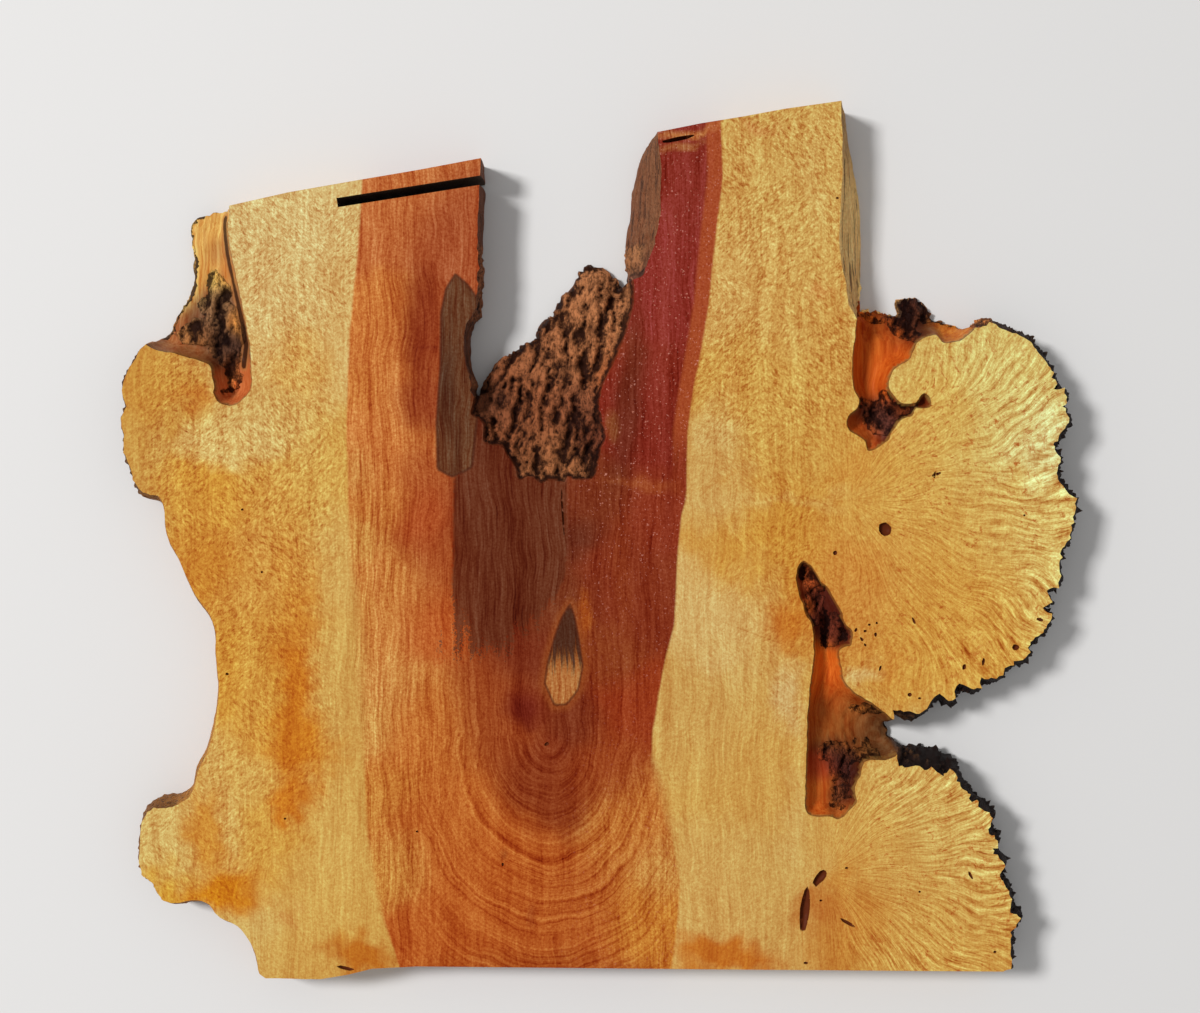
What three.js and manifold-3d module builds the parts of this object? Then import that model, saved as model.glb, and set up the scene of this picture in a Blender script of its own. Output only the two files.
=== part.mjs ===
// A forked slab of maple burl, 1 3/4 inch thick, sawn flat on both faces and laid on its back.
// The trunk runs along Y and forks at the top. Two burls swell from its right side. Deep folds
// where bark grew into the wood open into the face, and a saw cut enters the left arm's end.
// Millimetres, +Z up out of the figured face. The origin is under the middle of its box.
import * as THREE from "three";
import { mergeVertices } from "three/addons/utils/BufferGeometryUtils.js";
import Module from "manifold-3d";

const wasm = await Module();
wasm.setup();

const THICKNESS = 44.45; // between the two sawn faces
const STEP = 7.5; // longest chord along a natural edge
const ROWS = 4; // rings of facets between the front face and the back
const NORMAL_SPAN = 3; // outline points each way that set the direction a wall leans in
const BLEND = 18; // length over which a plain wall takes up the slope of a waney neighbour
const EVENING = 2; // passes that even out the lean where two natural stretches meet
const OUT_OF_SQUARE = 0.4; // how far a sawn end leans over the whole thickness
const CLEARANCE = 5; // how far a cutter stands proud of the face it cuts through
const KERF = { from: [-226, 290], to: [-90, 311.4], width: 8 }; // the saw cut in the left arm

// The outline of the figured face, clockwise from the outer corner of the left arm's end.
// A stretch is sawn, or natural with a lean (how far its wall has moved out at the back) and a
// bulge (how far it swells half-way down), or waney with its own line on the back face.
// The mouth of a fold is crossed by the line of the fold's outer lip.
const OUTLINE = [
  {
    name: "left arm end", sawn: true,
    front: [[-330, 285], [-268, 299], [-208, 309.5], [-155, 318.5], [-102, 328.5]],
  },
  {
    name: "left arm, inner edge", lean: 2, bulge: 1,
    front: [
      [-102, 328.5], [-103, 305], [-104.5, 280], [-106, 250], [-107, 217], [-109, 197],
      [-115, 185], [-117, 165], [-115, 147], [-111.5, 136], [-110.5, 128], [-108, 122.5],
    ],
  },
  {
    name: "lip of the fork", lean: 2, bulge: 0,
    front: [
      [-108, 122.5], [-103.5, 125], [-99, 134], [-92, 146], [-80, 158], [-64, 168], [-55, 173], [-51, 182],
      [-45, 190], [-37, 194], [-35, 203], [-30, 212], [-18.5, 220], [-15.5, 232], [-9, 240],
      [0, 237], [8, 230], [14.5, 226], [17.5, 218], [22, 219], [27, 223],
    ],
  },
  {
    name: "right arm, inner wane", bulge: 1,
    front: [
      [27, 223], [35, 226], [41.5, 236], [46.5, 251], [51, 269], [53.5, 284], [53.5, 299],
      [54, 316], [52, 333], [50.5, 343], [50.5, 351],
    ],
    back: [
      [26.5, 224], [24, 239], [23.5, 258], [27, 283], [28, 300], [31, 309.5], [33, 322],
      [36, 334], [41, 343.5], [47.5, 350.5],
    ],
  },
  {
    name: "right arm end", sawn: true,
    front: [[50.5, 351], [88, 358.5], [125, 364.5], [160, 371], [209.5, 378]],
  },
  {
    name: "right arm, outer wane", bulge: 0,
    front: [
      [209.5, 378], [210, 350], [210, 320], [209, 299], [208, 275], [207.5, 255], [209, 240],
      [212, 223], [217, 201], [223, 189],
    ],
    back: [
      [217.5, 379], [220, 352], [226, 325], [229.5, 308], [232, 282], [232.5, 257], [232, 231],
      [231, 198],
    ],
  },
  {
    name: "mouth of the upper fold", lean: 2, bulge: 0,
    front: [
      [223, 189], [233, 199], [250.5, 195.5], [268, 196], [265, 206], [269, 209], [280, 209.5],
      [288.5, 204], [292.5, 194], [303.5, 189], [314, 183], [326, 182], [337, 186],
    ],
  },
  {
    name: "upper burl", lean: 6, bulge: 3,
    front: [
      [337, 186], [348, 181.5], [360, 176], [372, 170], [377, 163], [383, 156], [389.5, 147],
      [391, 139], [396, 133.5], [393, 129], [398, 128], [404, 122], [400, 114], [406, 104],
      [403, 97], [398, 89.5], [392, 81], [396, 73], [398, 66], [395, 61], [396, 51], [401, 44],
      [410, 33], [412, 27], [411, 21], [407.5, 16], [407.5, 7], [405, -1], [400, -8],
      [397, -18.5], [398, -29], [395.5, -41], [386, -45], [392, -55], [383, -60], [389, -66],
      [386, -77], [379, -83.5], [370, -90.5], [371, -98], [366, -105], [358, -106], [355, -110],
      [350.5, -112], [349, -118], [341, -119], [336, -121], [330, -119], [328, -127],
      [319, -128], [311, -125], [307, -132], [308, -138], [302, -140], [294, -134], [286, -141],
      [283, -147], [274, -151], [266, -150], [254, -148.5],
    ],
  },
  {
    name: "mouth of the long fold", lean: 2, bulge: 0,
    front: [[254, -148.5], [255, -155], [251.5, -163], [253.5, -175], [257.5, -183]],
  },
  {
    name: "lower burl, upper wane", bulge: 2,
    front: [
      [257.5, -183], [257.5, -190], [259, -196.5], [264, -198], [270, -196.5], [277, -196.5],
      [281, -200], [289, -200], [293, -205], [298, -206], [303, -199], [308, -203],
    ],
    back: [[258.5, -181], [268, -184], [280, -186], [292, -187], [303, -189], [315, -199]],
  },
  {
    name: "lower burl", lean: 6, bulge: 3,
    front: [
      [308, -203], [308, -210], [312, -214], [317, -221.5], [322, -227.5], [329, -233],
      [336, -238], [340, -241.5], [336, -251], [339, -259], [344.5, -261], [338, -270],
      [349, -279], [351, -283], [344.5, -292], [349, -298.5], [353, -305], [356, -314],
      [355, -323], [364.5, -328], [360, -333], [355, -340], [356, -352], [355, -361],
      [356.5, -366], [355, -371], [349, -374],
    ],
  },
  {
    name: "trunk end", sawn: true,
    front: [
      [349, -374], [96, -372], [-157, -369.5], [-196, -371.5], [-216, -376.5], [-240, -380.5],
      [-288, -380],
    ],
  },
  {
    name: "trunk and small burls, left edge", lean: 5, bulge: 2,
    front: [
      [-288, -380], [-293, -376], [-296, -361], [-300, -351], [-306, -341.5], [-312, -335],
      [-327, -328], [-332, -323], [-337, -316], [-343, -313], [-355, -313], [-369.5, -315],
      [-377, -311], [-382, -304.5], [-385, -297.5], [-393, -292], [-396, -283], [-396, -258],
      [-394, -245], [-389.5, -237], [-384, -233.5], [-368.5, -232], [-355, -224], [-350, -217],
      [-347, -202], [-339, -187], [-333.5, -168], [-328.5, -139], [-328.5, -122],
      [-330.5, -99], [-330.5, -82], [-335, -68], [-340, -60], [-348, -50], [-354, -38],
      [-362, -18], [-370, -4], [-374, 8], [-376, 29], [-381, 37], [-394, 39.5], [-400, 48],
      [-405, 62], [-410, 77], [-410, 90], [-413, 104], [-408, 114], [-412, 128], [-408, 142],
      [-400, 156], [-396, 163], [-391, 168],
    ],
  },
  {
    name: "mouth of the left fold", lean: 2, bulge: 0,
    front: [
      [-391, 168], [-388, 173], [-381, 175], [-375, 179], [-373, 185], [-368, 195],
      [-362, 205], [-358, 214], [-355, 222], [-354, 241], [-354, 257], [-357, 270],
      [-354, 278], [-345, 282], [-330, 285],
    ],
  },
];

// The folds that open into the face. Each rim is closed by a few points clear of the slab, and
// the floor falls evenly from its high point to its low one, given as [x, y, z].
const FOLDS = [
  {
    name: "fork", high: [0, 50, 34], low: [-40, 235, 3],
    rim: [
      [-106.5, 127], [-109, 117], [-110, 107], [-100, 99], [-99, 83], [-84, 79], [-80, 72], [-73, 62],
      [-69, 50], [-59, 53], [-50, 47], [-41, 50], [-29, 47], [-27, 53], [-20, 50], [-5, 52],
      [0, 65], [2.5, 77], [7, 88], [4, 100], [1, 114], [2.5, 127], [7, 139], [13, 151],
      [19, 165], [23.5, 178], [27, 190], [29.5, 200], [31, 214], [30.5, 221], [27, 233],
    ],
    outside: [[10, 258], [-25, 262], [-80, 195], [-104.5, 150], [-105.5, 134]],
  },
  {
    name: "left fold", high: [-300, 150, 28], low: [-405, 150, 4],
    rim: [
      [-388, 165], [-380, 162], [-365, 159], [-347, 154], [-336, 149], [-334, 140],
      [-332, 131.5], [-333, 126], [-331, 121], [-328, 117], [-323, 115], [-317, 114.5],
      [-311, 117], [-305, 122.5], [-300, 130], [-299.5, 140], [-301, 165], [-305, 187],
      [-311, 217], [-315, 235], [-319.5, 260], [-320, 271], [-318, 280],
    ],
    outside: [[-321, 298], [-350, 305], [-380, 285], [-376, 222], [-398, 174]],
  },
  {
    name: "upper fold", high: [232, 76, 24], low: [232, 205, 4],
    rim: [
      [222.5, 187], [220, 166], [219, 154], [219, 137], [221, 127], [224.5, 120], [223, 113],
      [217, 108], [214, 101], [216, 94], [224, 88], [230, 84], [231.5, 76.5], [234, 75],
      [241, 78], [250, 85], [255, 94], [262, 103], [271, 106], [274, 112], [286, 113],
      [287, 117], [285, 123], [281.5, 126], [277, 122], [274, 118], [267, 116.5], [261, 118],
      [256.5, 122], [252, 127.5], [250.5, 133.5], [252, 140], [256.5, 147], [268.5, 154.5],
      [271, 161], [275, 168], [282, 173.5], [291, 176], [294.5, 172], [298, 168.5],
      [308, 170], [315, 172], [325, 181],
    ],
    outside: [[322, 196], [300, 225], [250, 222], [226, 207]],
  },
  {
    name: "long fold", high: [170, -120, 28], low: [258, -120, 4],
    rim: [
      [250, -153], [243, -147], [237, -143], [224, -135], [214, -126], [211, -119], [210, -112],
      [207.5, -100], [209, -96], [214, -93], [218, -92], [219.5, -81], [214, -75], [211, -69],
      [211.5, -65], [208, -60], [204.5, -54], [197.5, -41.5], [192.5, -38], [189.5, -32],
      [182.5, -22], [176.5, -19], [172.5, -22.5], [170.5, -28], [170, -36], [173.5, -50],
      [179, -66], [183.5, -73], [185.5, -93], [185, -105], [182, -129], [180, -151],
      [179.5, -174], [178.5, -191], [178, -226], [178.5, -234.5], [183, -239], [191, -240.5],
      [199.5, -240.5], [205.5, -243], [210, -241.5], [217, -234.5], [223, -227.5],
      [221.5, -219], [223, -210], [226, -205], [228, -196.5], [232, -192], [248, -191],
      [253, -189.5],
    ],
    outside: [[268, -180], [274, -172], [268, -167]],
  },
];

// The outline's points along one stretch, without its last. Sawn stretches are straight lines,
// natural ones are smooth curves through their points in short chords.
function alongFront(stretch) {
  const corners = stretch.front.map(([x, y]) => new THREE.Vector3(x, y, 0));
  const curve = new THREE.CatmullRomCurve3(corners, false, "centripetal");
  const last = corners.length - 1;
  const points = [];
  for (let i = 0; i < last; i += 1) {
    const length = corners[i].distanceTo(corners[i + 1]);
    const chords = stretch.sawn ? 1 : Math.ceil(length / STEP);
    for (let j = 0; j < chords; j += 1) points.push(curve.getPoint((i + j / chords) / last));
  }
  return points;
}

// How far along its stretch each point lies, as lengths, with the stretch's whole length last.
function lengthsAlong(points, end) {
  const lengths = [0];
  [...points.slice(1), end].forEach((point, i) => {
    lengths.push(lengths[i] + point.distanceTo(points[i]));
  });
  return lengths;
}

// Every point of the outline with the shift that takes it to the back face.
function edgePoints() {
  const sampled = OUTLINE.map(alongFront);
  const loop = sampled.flat();
  const outward = (i) => {
    const ahead = loop[(i + NORMAL_SPAN) % loop.length];
    const behind = loop[(i - NORMAL_SPAN + loop.length) % loop.length];
    const along = ahead.clone().sub(behind).normalize();
    return new THREE.Vector3(-along.y, along.x, 0);
  };
  const lengths = sampled.map((points, s) =>
    lengthsAlong(points, sampled[(s + 1) % sampled.length][0]),
  );
  const waneShift = (stretch, share, from) => {
    const line = stretch.back.map(([x, y]) => new THREE.Vector3(x, y, 0));
    const curve = new THREE.CatmullRomCurve3(line, false, "centripetal");
    return curve.getPointAt(share).sub(from);
  };
  const edge = [];
  OUTLINE.forEach((stretch, s) => {
    const before = OUTLINE[(s + OUTLINE.length - 1) % OUTLINE.length];
    const after = OUTLINE[(s + 1) % OUTLINE.length];
    const whole = lengths[s][sampled[s].length];
    sampled[s].forEach((point, i) => {
      const normal = outward(edge.length);
      const at = lengths[s][i];
      if (stretch.back) {
        const shift = waneShift(stretch, at / whole, point);
        edge.push({ point, normal, shift, bulge: stretch.bulge });
        return;
      }
      const shift = normal.clone().multiplyScalar(stretch.sawn ? OUT_OF_SQUARE : stretch.lean);
      if (before.back) {
        const start = waneShift(before, 1, sampled[s][0]);
        shift.lerp(start, 1 - THREE.MathUtils.smoothstep(at, 0, BLEND));
      }
      if (after.back) {
        const end = waneShift(after, 0, sampled[(s + 1) % sampled.length][0]);
        shift.lerp(end, THREE.MathUtils.smoothstep(at, whole - BLEND, whole));
      }
      edge.push({ point, normal, shift, bulge: stretch.bulge ?? 0, sawn: stretch.sawn });
    });
  });
  for (let pass = 0; pass < EVENING; pass += 1) {
    const old = edge.map(({ shift, bulge }) => ({ shift: shift.clone(), bulge }));
    edge.forEach((place, i) => {
      if (place.sawn) return;
      const [last, next] = [old.at(i - 1), old[(i + 1) % old.length]];
      place.shift.multiplyScalar(2).add(last.shift).add(next.shift).divideScalar(4);
      place.bulge = (2 * place.bulge + last.bulge + next.bulge) / 4;
    });
  }
  return edge;
}

// A closed solid between rings of points, the first ring uppermost, all clockwise from above.
function loft(rings) {
  const count = rings[0].length;
  const vertices = rings.flat().flatMap((p) => [p.x, p.y, p.z]);
  const faces = [];
  for (let r = 0; r + 1 < rings.length; r += 1) {
    for (let i = 0; i < count; i += 1) {
      const a = r * count + i;
      const b = r * count + ((i + 1) % count);
      faces.push(a, b, a + count, b, b + count, a + count);
    }
  }
  const cap = (r) => THREE.ShapeUtils.triangulateShape(
    rings[r].map((p) => new THREE.Vector2(p.x, p.y)), [],
  ).map((face) => face.map((i) => r * count + i));
  const counterClockwise = ([a, b, c]) => {
    const [p, q, s] = [a, b, c].map((i) => [vertices[3 * i], vertices[3 * i + 1]]);
    return (q[0] - p[0]) * (s[1] - p[1]) > (q[1] - p[1]) * (s[0] - p[0]);
  };
  cap(0).forEach((f) => faces.push(...(counterClockwise(f) ? f : f.reverse())));
  cap(rings.length - 1).forEach((f) => faces.push(...(counterClockwise(f) ? f.reverse() : f)));
  const geometry = new THREE.BufferGeometry();
  geometry.setAttribute("position", new THREE.Float32BufferAttribute(vertices, 3));
  geometry.setIndex(faces);
  return geometry;
}

// The whole slab before its folds are opened: the walls run out to the back as they go down.
function slabGeometry() {
  const edge = edgePoints();
  const rings = [];
  for (let r = 0; r <= ROWS; r += 1) {
    const down = r / ROWS;
    rings.push(edge.map(({ point, normal, shift, bulge }) => point.clone()
      .addScaledVector(shift, Math.sin((down * Math.PI) / 2))
      .addScaledVector(normal, bulge * Math.sin(down * Math.PI))
      .setZ(THICKNESS * (1 - down))));
  }
  return loft(rings);
}

// The space above the floor of one fold, straight-walled from its rim.
function foldGeometry({ rim, outside, high, low }) {
  const fall = [low[0] - high[0], low[1] - high[1]];
  const run = fall[0] ** 2 + fall[1] ** 2;
  const floorAt = (x, y) => {
    const share = ((x - high[0]) * fall[0] + (y - high[1]) * fall[1]) / run;
    return high[2] + share * (low[2] - high[2]);
  };
  const ring = [...rim, ...outside].map(([x, y]) => new THREE.Vector3(x, y, 0));
  const clockwise = THREE.ShapeUtils.isClockWise(ring) ? ring : ring.reverse();
  const top = clockwise.map((p) => p.clone().setZ(THICKNESS + CLEARANCE));
  const floor = clockwise.map((p) => p.clone().setZ(floorAt(p.x, p.y)));
  return loft([top, floor]);
}

// The saw cut, right through the thickness and open at the arm's inner edge.
function kerfGeometry({ from, to, width }) {
  const [dx, dy] = [to[0] - from[0], to[1] - from[1]];
  const geometry = new THREE.BoxGeometry(Math.hypot(dx, dy), width, THICKNESS + 2 * CLEARANCE);
  geometry.rotateZ(Math.atan2(dy, dx));
  geometry.translate((from[0] + to[0]) / 2, (from[1] + to[1]) / 2, THICKNESS / 2);
  return geometry;
}

function solid(geometry) {
  const plain = geometry.clone();
  plain.deleteAttribute("normal");
  plain.deleteAttribute("uv");
  const merged = mergeVertices(plain, 1e-4);
  return new wasm.Manifold(new wasm.Mesh({
    numProp: 3,
    vertProperties: merged.attributes.position.array,
    triVerts: new Uint32Array(merged.index.array),
  }));
}

let slab = solid(slabGeometry()).subtract(solid(kerfGeometry(KERF)));
for (const fold of FOLDS) slab = slab.subtract(solid(foldGeometry(fold)));

const cut = slab.getMesh();
const geometry = new THREE.BufferGeometry();
geometry.setAttribute("position", new THREE.BufferAttribute(cut.vertProperties, 3));
geometry.setIndex(new THREE.BufferAttribute(cut.triVerts, 1));
geometry.computeBoundingBox();
const middle = geometry.boundingBox.getCenter(new THREE.Vector3());
geometry.translate(-middle.x, -middle.y, 0);
geometry.computeVertexNormals();

const wood = new THREE.MeshStandardMaterial({ color: 0xd8a55a, roughness: 0.5, metalness: 0 });
const burlSlab = new THREE.Mesh(geometry, wood);
burlSlab.name = "maple_burl_slab";

const part = new THREE.Group();
part.add(burlSlab);

export default part;
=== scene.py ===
# A forked slab of maple burl, planed on its figured face and lying flat on its sawn back.
# All of it grew as one piece of wood, so it is one mesh that stands for the one CAD node.
import math

import bmesh
import bpy
import numpy as np
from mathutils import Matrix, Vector, geometry, kdtree, noise
from mathutils.bvhtree import BVHTree


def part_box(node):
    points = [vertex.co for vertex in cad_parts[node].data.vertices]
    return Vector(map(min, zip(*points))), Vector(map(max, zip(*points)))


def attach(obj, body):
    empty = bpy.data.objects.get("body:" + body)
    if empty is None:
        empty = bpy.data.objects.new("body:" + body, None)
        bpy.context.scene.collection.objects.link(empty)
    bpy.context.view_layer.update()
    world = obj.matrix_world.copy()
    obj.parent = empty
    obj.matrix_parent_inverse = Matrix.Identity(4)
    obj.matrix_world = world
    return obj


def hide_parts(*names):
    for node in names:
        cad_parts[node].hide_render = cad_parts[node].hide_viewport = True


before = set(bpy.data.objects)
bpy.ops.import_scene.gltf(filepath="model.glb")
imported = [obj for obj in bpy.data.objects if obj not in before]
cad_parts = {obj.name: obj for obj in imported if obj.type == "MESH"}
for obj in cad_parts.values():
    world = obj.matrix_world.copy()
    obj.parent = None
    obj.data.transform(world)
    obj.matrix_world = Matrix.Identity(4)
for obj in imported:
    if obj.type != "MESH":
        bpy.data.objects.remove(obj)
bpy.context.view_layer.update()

# ---- Camera ----
# Straight above the middle of the slab, with the fork of the trunk to the top.
CAMERA_HEIGHT = 1.439  # above the figured face, m
CAMERA_OFF_MIDDLE = (0.0007, 0.0301)

slab_low, slab_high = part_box("maple_burl_slab")
face_z = slab_high.z
camera = bpy.data.objects.new("camera", bpy.data.cameras.new("camera"))
camera.data.lens = 50
camera.data.sensor_width = 36
camera.location = (*CAMERA_OFF_MIDDLE, face_z + CAMERA_HEIGHT)
bpy.context.scene.collection.objects.link(camera)
bpy.context.scene.camera = camera

# ---- Slab: the frame's faces sorted by how the wood was cut ----
# The slab is sawn on both faces and at its ends; every other wall is a grown edge, and four
# bark-lined folds open into the figured face. The frame's own solid tells which face is which.
TINY = 2e-5
MM = 0.001
FLOOR_LEAN = 0.93  # the floors of the folds face up at least this much
UPRIGHT = 2e-3     # and their sides no more than this
SQUARE = 0.1       # a sawn end faces up or down less than this
ALONG = 0.9        # and faces this much up or down the trunk
ARMS_FROM = (-0.33, 0.28)  # the arms' ends lie beyond this X and Y
TRUNK_TO_Y, TRUNK_END_X = -0.36, (-0.24, 0.345)
SAW_CUT_TO_X = -0.095

cad = bmesh.new()
cad.from_mesh(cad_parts["maple_burl_slab"].data)
bmesh.ops.remove_doubles(cad, verts=cad.verts, dist=TINY / 2)
cad.normal_update()
cad.faces.ensure_lookup_table()

planed = {f for f in cad.faces if all(v.co.z > face_z - TINY for v in f.verts)}
sawn_back = {f for f in cad.faces if all(v.co.z < TINY for v in f.verts)}
fold_floor = {f for f in cad.faces if f.normal.z > FLOOR_LEAN} - planed
fold_side = set()
waiting = [n for f in fold_floor for e in f.edges for n in e.link_faces]
while waiting:
    face = waiting.pop()
    clear_of_back = min(v.co.z for v in face.verts) > 0.5 * MM
    if abs(face.normal.z) < UPRIGHT and clear_of_back and face not in fold_side:
        fold_side.add(face)
        waiting += [n for e in face.edges for n in e.link_faces]
from_above = planed | fold_floor | fold_side


def is_sawn(face):
    """True on the flat ends of the trunk and arms, and on the walls of the saw cut."""
    middle = face.calc_center_median()
    in_arms = middle.y > ARMS_FROM[1]
    in_kerf = abs(face.normal.z) < 1e-4 and in_arms and middle.x < SAW_CUT_TO_X
    arm_end = face.normal.y > ALONG and in_arms and middle.x > ARMS_FROM[0]
    trunk_end = (face.normal.y < -ALONG and middle.y < TRUNK_TO_Y
                 and TRUNK_END_X[0] < middle.x < TRUNK_END_X[1])
    return abs(face.normal.z) < SQUARE and (in_kerf or arm_end or trunk_end)


def planes_of_folds():
    """One (middle, normal, point) for the floor of each fold."""
    left, planes = set(fold_floor), []
    while left:
        group, queue = set(), [left.pop()]
        while queue:
            face = queue.pop()
            group.add(face)
            for near in (n for e in face.edges for n in e.link_faces if n in left):
                left.discard(near)
                queue.append(near)
        middle = sum((f.calc_center_median() for f in group), Vector()) / len(group)
        widest = max(group, key=lambda f: f.calc_area())
        planes.append((middle, widest.normal.copy(), widest.verts[0].co.copy()))
    return planes


fold_planes = planes_of_folds()
# The rims where the folds meet the face, as chains of points from one open end to the other.
rim_edges = [e for e in cad.edges
             if len(e.link_faces) == 2 and sum(f in planed for f in e.link_faces) == 1
             and sum(f in fold_side for f in e.link_faces) == 1]
rims, neighbours = [], {}
for a, b in (tuple(pair) for pair in
             {frozenset(v.co.to_tuple(7) for v in e.verts) for e in rim_edges}):
    neighbours.setdefault(a, []).append(b)
    neighbours.setdefault(b, []).append(a)
for start in sorted(point for point, near in neighbours.items() if len(near) == 1):
    if any(start in chain for chain in rims):
        continue
    chain = [start]
    while True:
        onward = [p for p in neighbours[chain[-1]] if p not in chain]
        if not onward:
            break
        chain.append(onward[0])
    rims.append(chain)
surface = BVHTree.FromBMesh(cad)
kind_of = ["face" if f in planed else "fold" if f in fold_floor else "" for f in cad.faces]

# ---- Slab: the grown edges ----
# Below the planed face the walls are the tree's own outside. The burls bristle with short
# pegs, the folds' lips are bark, and the arms' outsides are fluted along the grain.
EDGE_STEP = 2.9 * MM
SAWN_STEP = 14 * MM

walls = cad.copy()
walls.faces.ensure_lookup_table()
cad.faces.index_update()
finish = walls.faces.layers.int.new("finish")
upper = {f.index for f in from_above}
lower = {f.index for f in sawn_back}
for face, original in zip(walls.faces, cad.faces):
    face[finish] = 1 if is_sawn(original) else 0
gone = [f for f in walls.faces if f.index in upper or f.index in lower]
bmesh.ops.delete(walls, geom=gone, context="FACES")


def wanted_step(edge):
    """How long an edge of a wall may stay before it is halved."""
    return SAWN_STEP if all(f[finish] for f in edge.link_faces) else EDGE_STEP * 1.35


for _ in range(9):
    too_long = [e for e in walls.edges if e.calc_length() > wanted_step(e)]
    if not too_long:
        break
    bmesh.ops.subdivide_edges(walls, edges=too_long, cuts=1)
    bmesh.ops.triangulate(walls, faces=[f for f in walls.faces if len(f.verts) > 3])
walls.normal_update()
grown = [v for v in walls.verts if not v.is_boundary and not any(f[finish] for f in v.link_faces)]
for _ in range(2):
    bmesh.ops.smooth_vert(walls, verts=grown, factor=0.5,
                          use_axis_x=True, use_axis_y=True, use_axis_z=False)


def soft_box(point, low, high, soft):
    """1 inside a box in X and Y, falling to 0 over a soft border outside it."""
    outside = max(low[0] - point.x, point.x - high[0], low[1] - point.y, point.y - high[1])
    return min(1.0, max(0.0, 1 - outside / soft))


# Where each kind of outside shows, as (low corner, high corner, share) in metres.
BURL_EDGES = [((0.262, -0.147), (0.43, 0.188), 1.0), ((0.262, -0.372), (0.40, -0.188), 1.0),
              ((-0.43, 0.045), (-0.385, 0.168), 0.45), ((-0.41, -0.312), (-0.37, -0.228), 0.35)]
BARK_LIPS = [((-0.105, 0.10), (0.03, 0.25), 1.0), ((-0.38, 0.175), (-0.345, 0.28), 0.8),
             ((0.236, 0.185), (0.335, 0.22), 1.0), ((0.245, -0.18), (0.27, -0.148), 0.8)]
FLUTED = [((0.212, 0.205), (0.25, 0.372), 1.0), ((0.015, 0.235), (0.06, 0.345), 0.8),
          ((-0.13, 0.12), (-0.09, 0.30), 0.7), ((-0.36, -0.24), (-0.32, 0.03), 0.35)]


def weights(point, sawn):
    """How much of the pegs, the bark and the flutes a point of the walls gets."""
    if sawn:
        return 0.0, 0.0, 0.0
    return tuple(max(share * soft_box(point, low, high, 14 * MM) for low, high, share in spots)
                 for spots in (BURL_EDGES, BARK_LIPS, FLUTED))


def wire(tree, kind, values, settings=None):
    """Adds a node with its settings, and gives each named input a value or a link."""
    node = tree.nodes.new(kind)
    for key, value in (settings or {}).items():
        setattr(node, key, value)
    for key, value in values.items():
        if isinstance(value, bpy.types.NodeSocket):
            tree.links.new(value, node.inputs[key])
        else:
            node.inputs[key].default_value = value
    return node


def calc(tree, operation, a, b=0.0, c=0.0):
    """One step of arithmetic on numbers."""
    return wire(tree, "ShaderNodeMath", {0: a, 1: b, 2: c}, {"operation": operation}).outputs[0]


def vector_calc(tree, operation, a, b):
    """One step of arithmetic on vectors."""
    return wire(tree, "ShaderNodeVectorMath", {0: a, 1: b}, {"operation": operation}).outputs[0]


def ramp(tree, value, low, high, to_low=0.0, to_high=1.0):
    """A smooth step from one value to another."""
    inputs = {"Value": value, "From Min": low, "From Max": high,
              "To Min": to_low, "To Max": to_high}
    node = wire(tree, "ShaderNodeMapRange", inputs, {"interpolation_type": "SMOOTHSTEP"})
    return node.outputs[0]


def noise_at(tree, vector, scale, detail=3.0, roughness=0.55, distortion=0.0, seed=0.0):
    """Cloudy noise about 0.5, told apart from its like by the seed."""
    inputs = {"Vector": vector, "Scale": scale, "Detail": detail, "Roughness": roughness,
              "Distortion": distortion, "W": seed}
    node = wire(tree, "ShaderNodeTexNoise", inputs, {"noise_dimensions": "4D"})
    return node.outputs[0]


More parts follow.
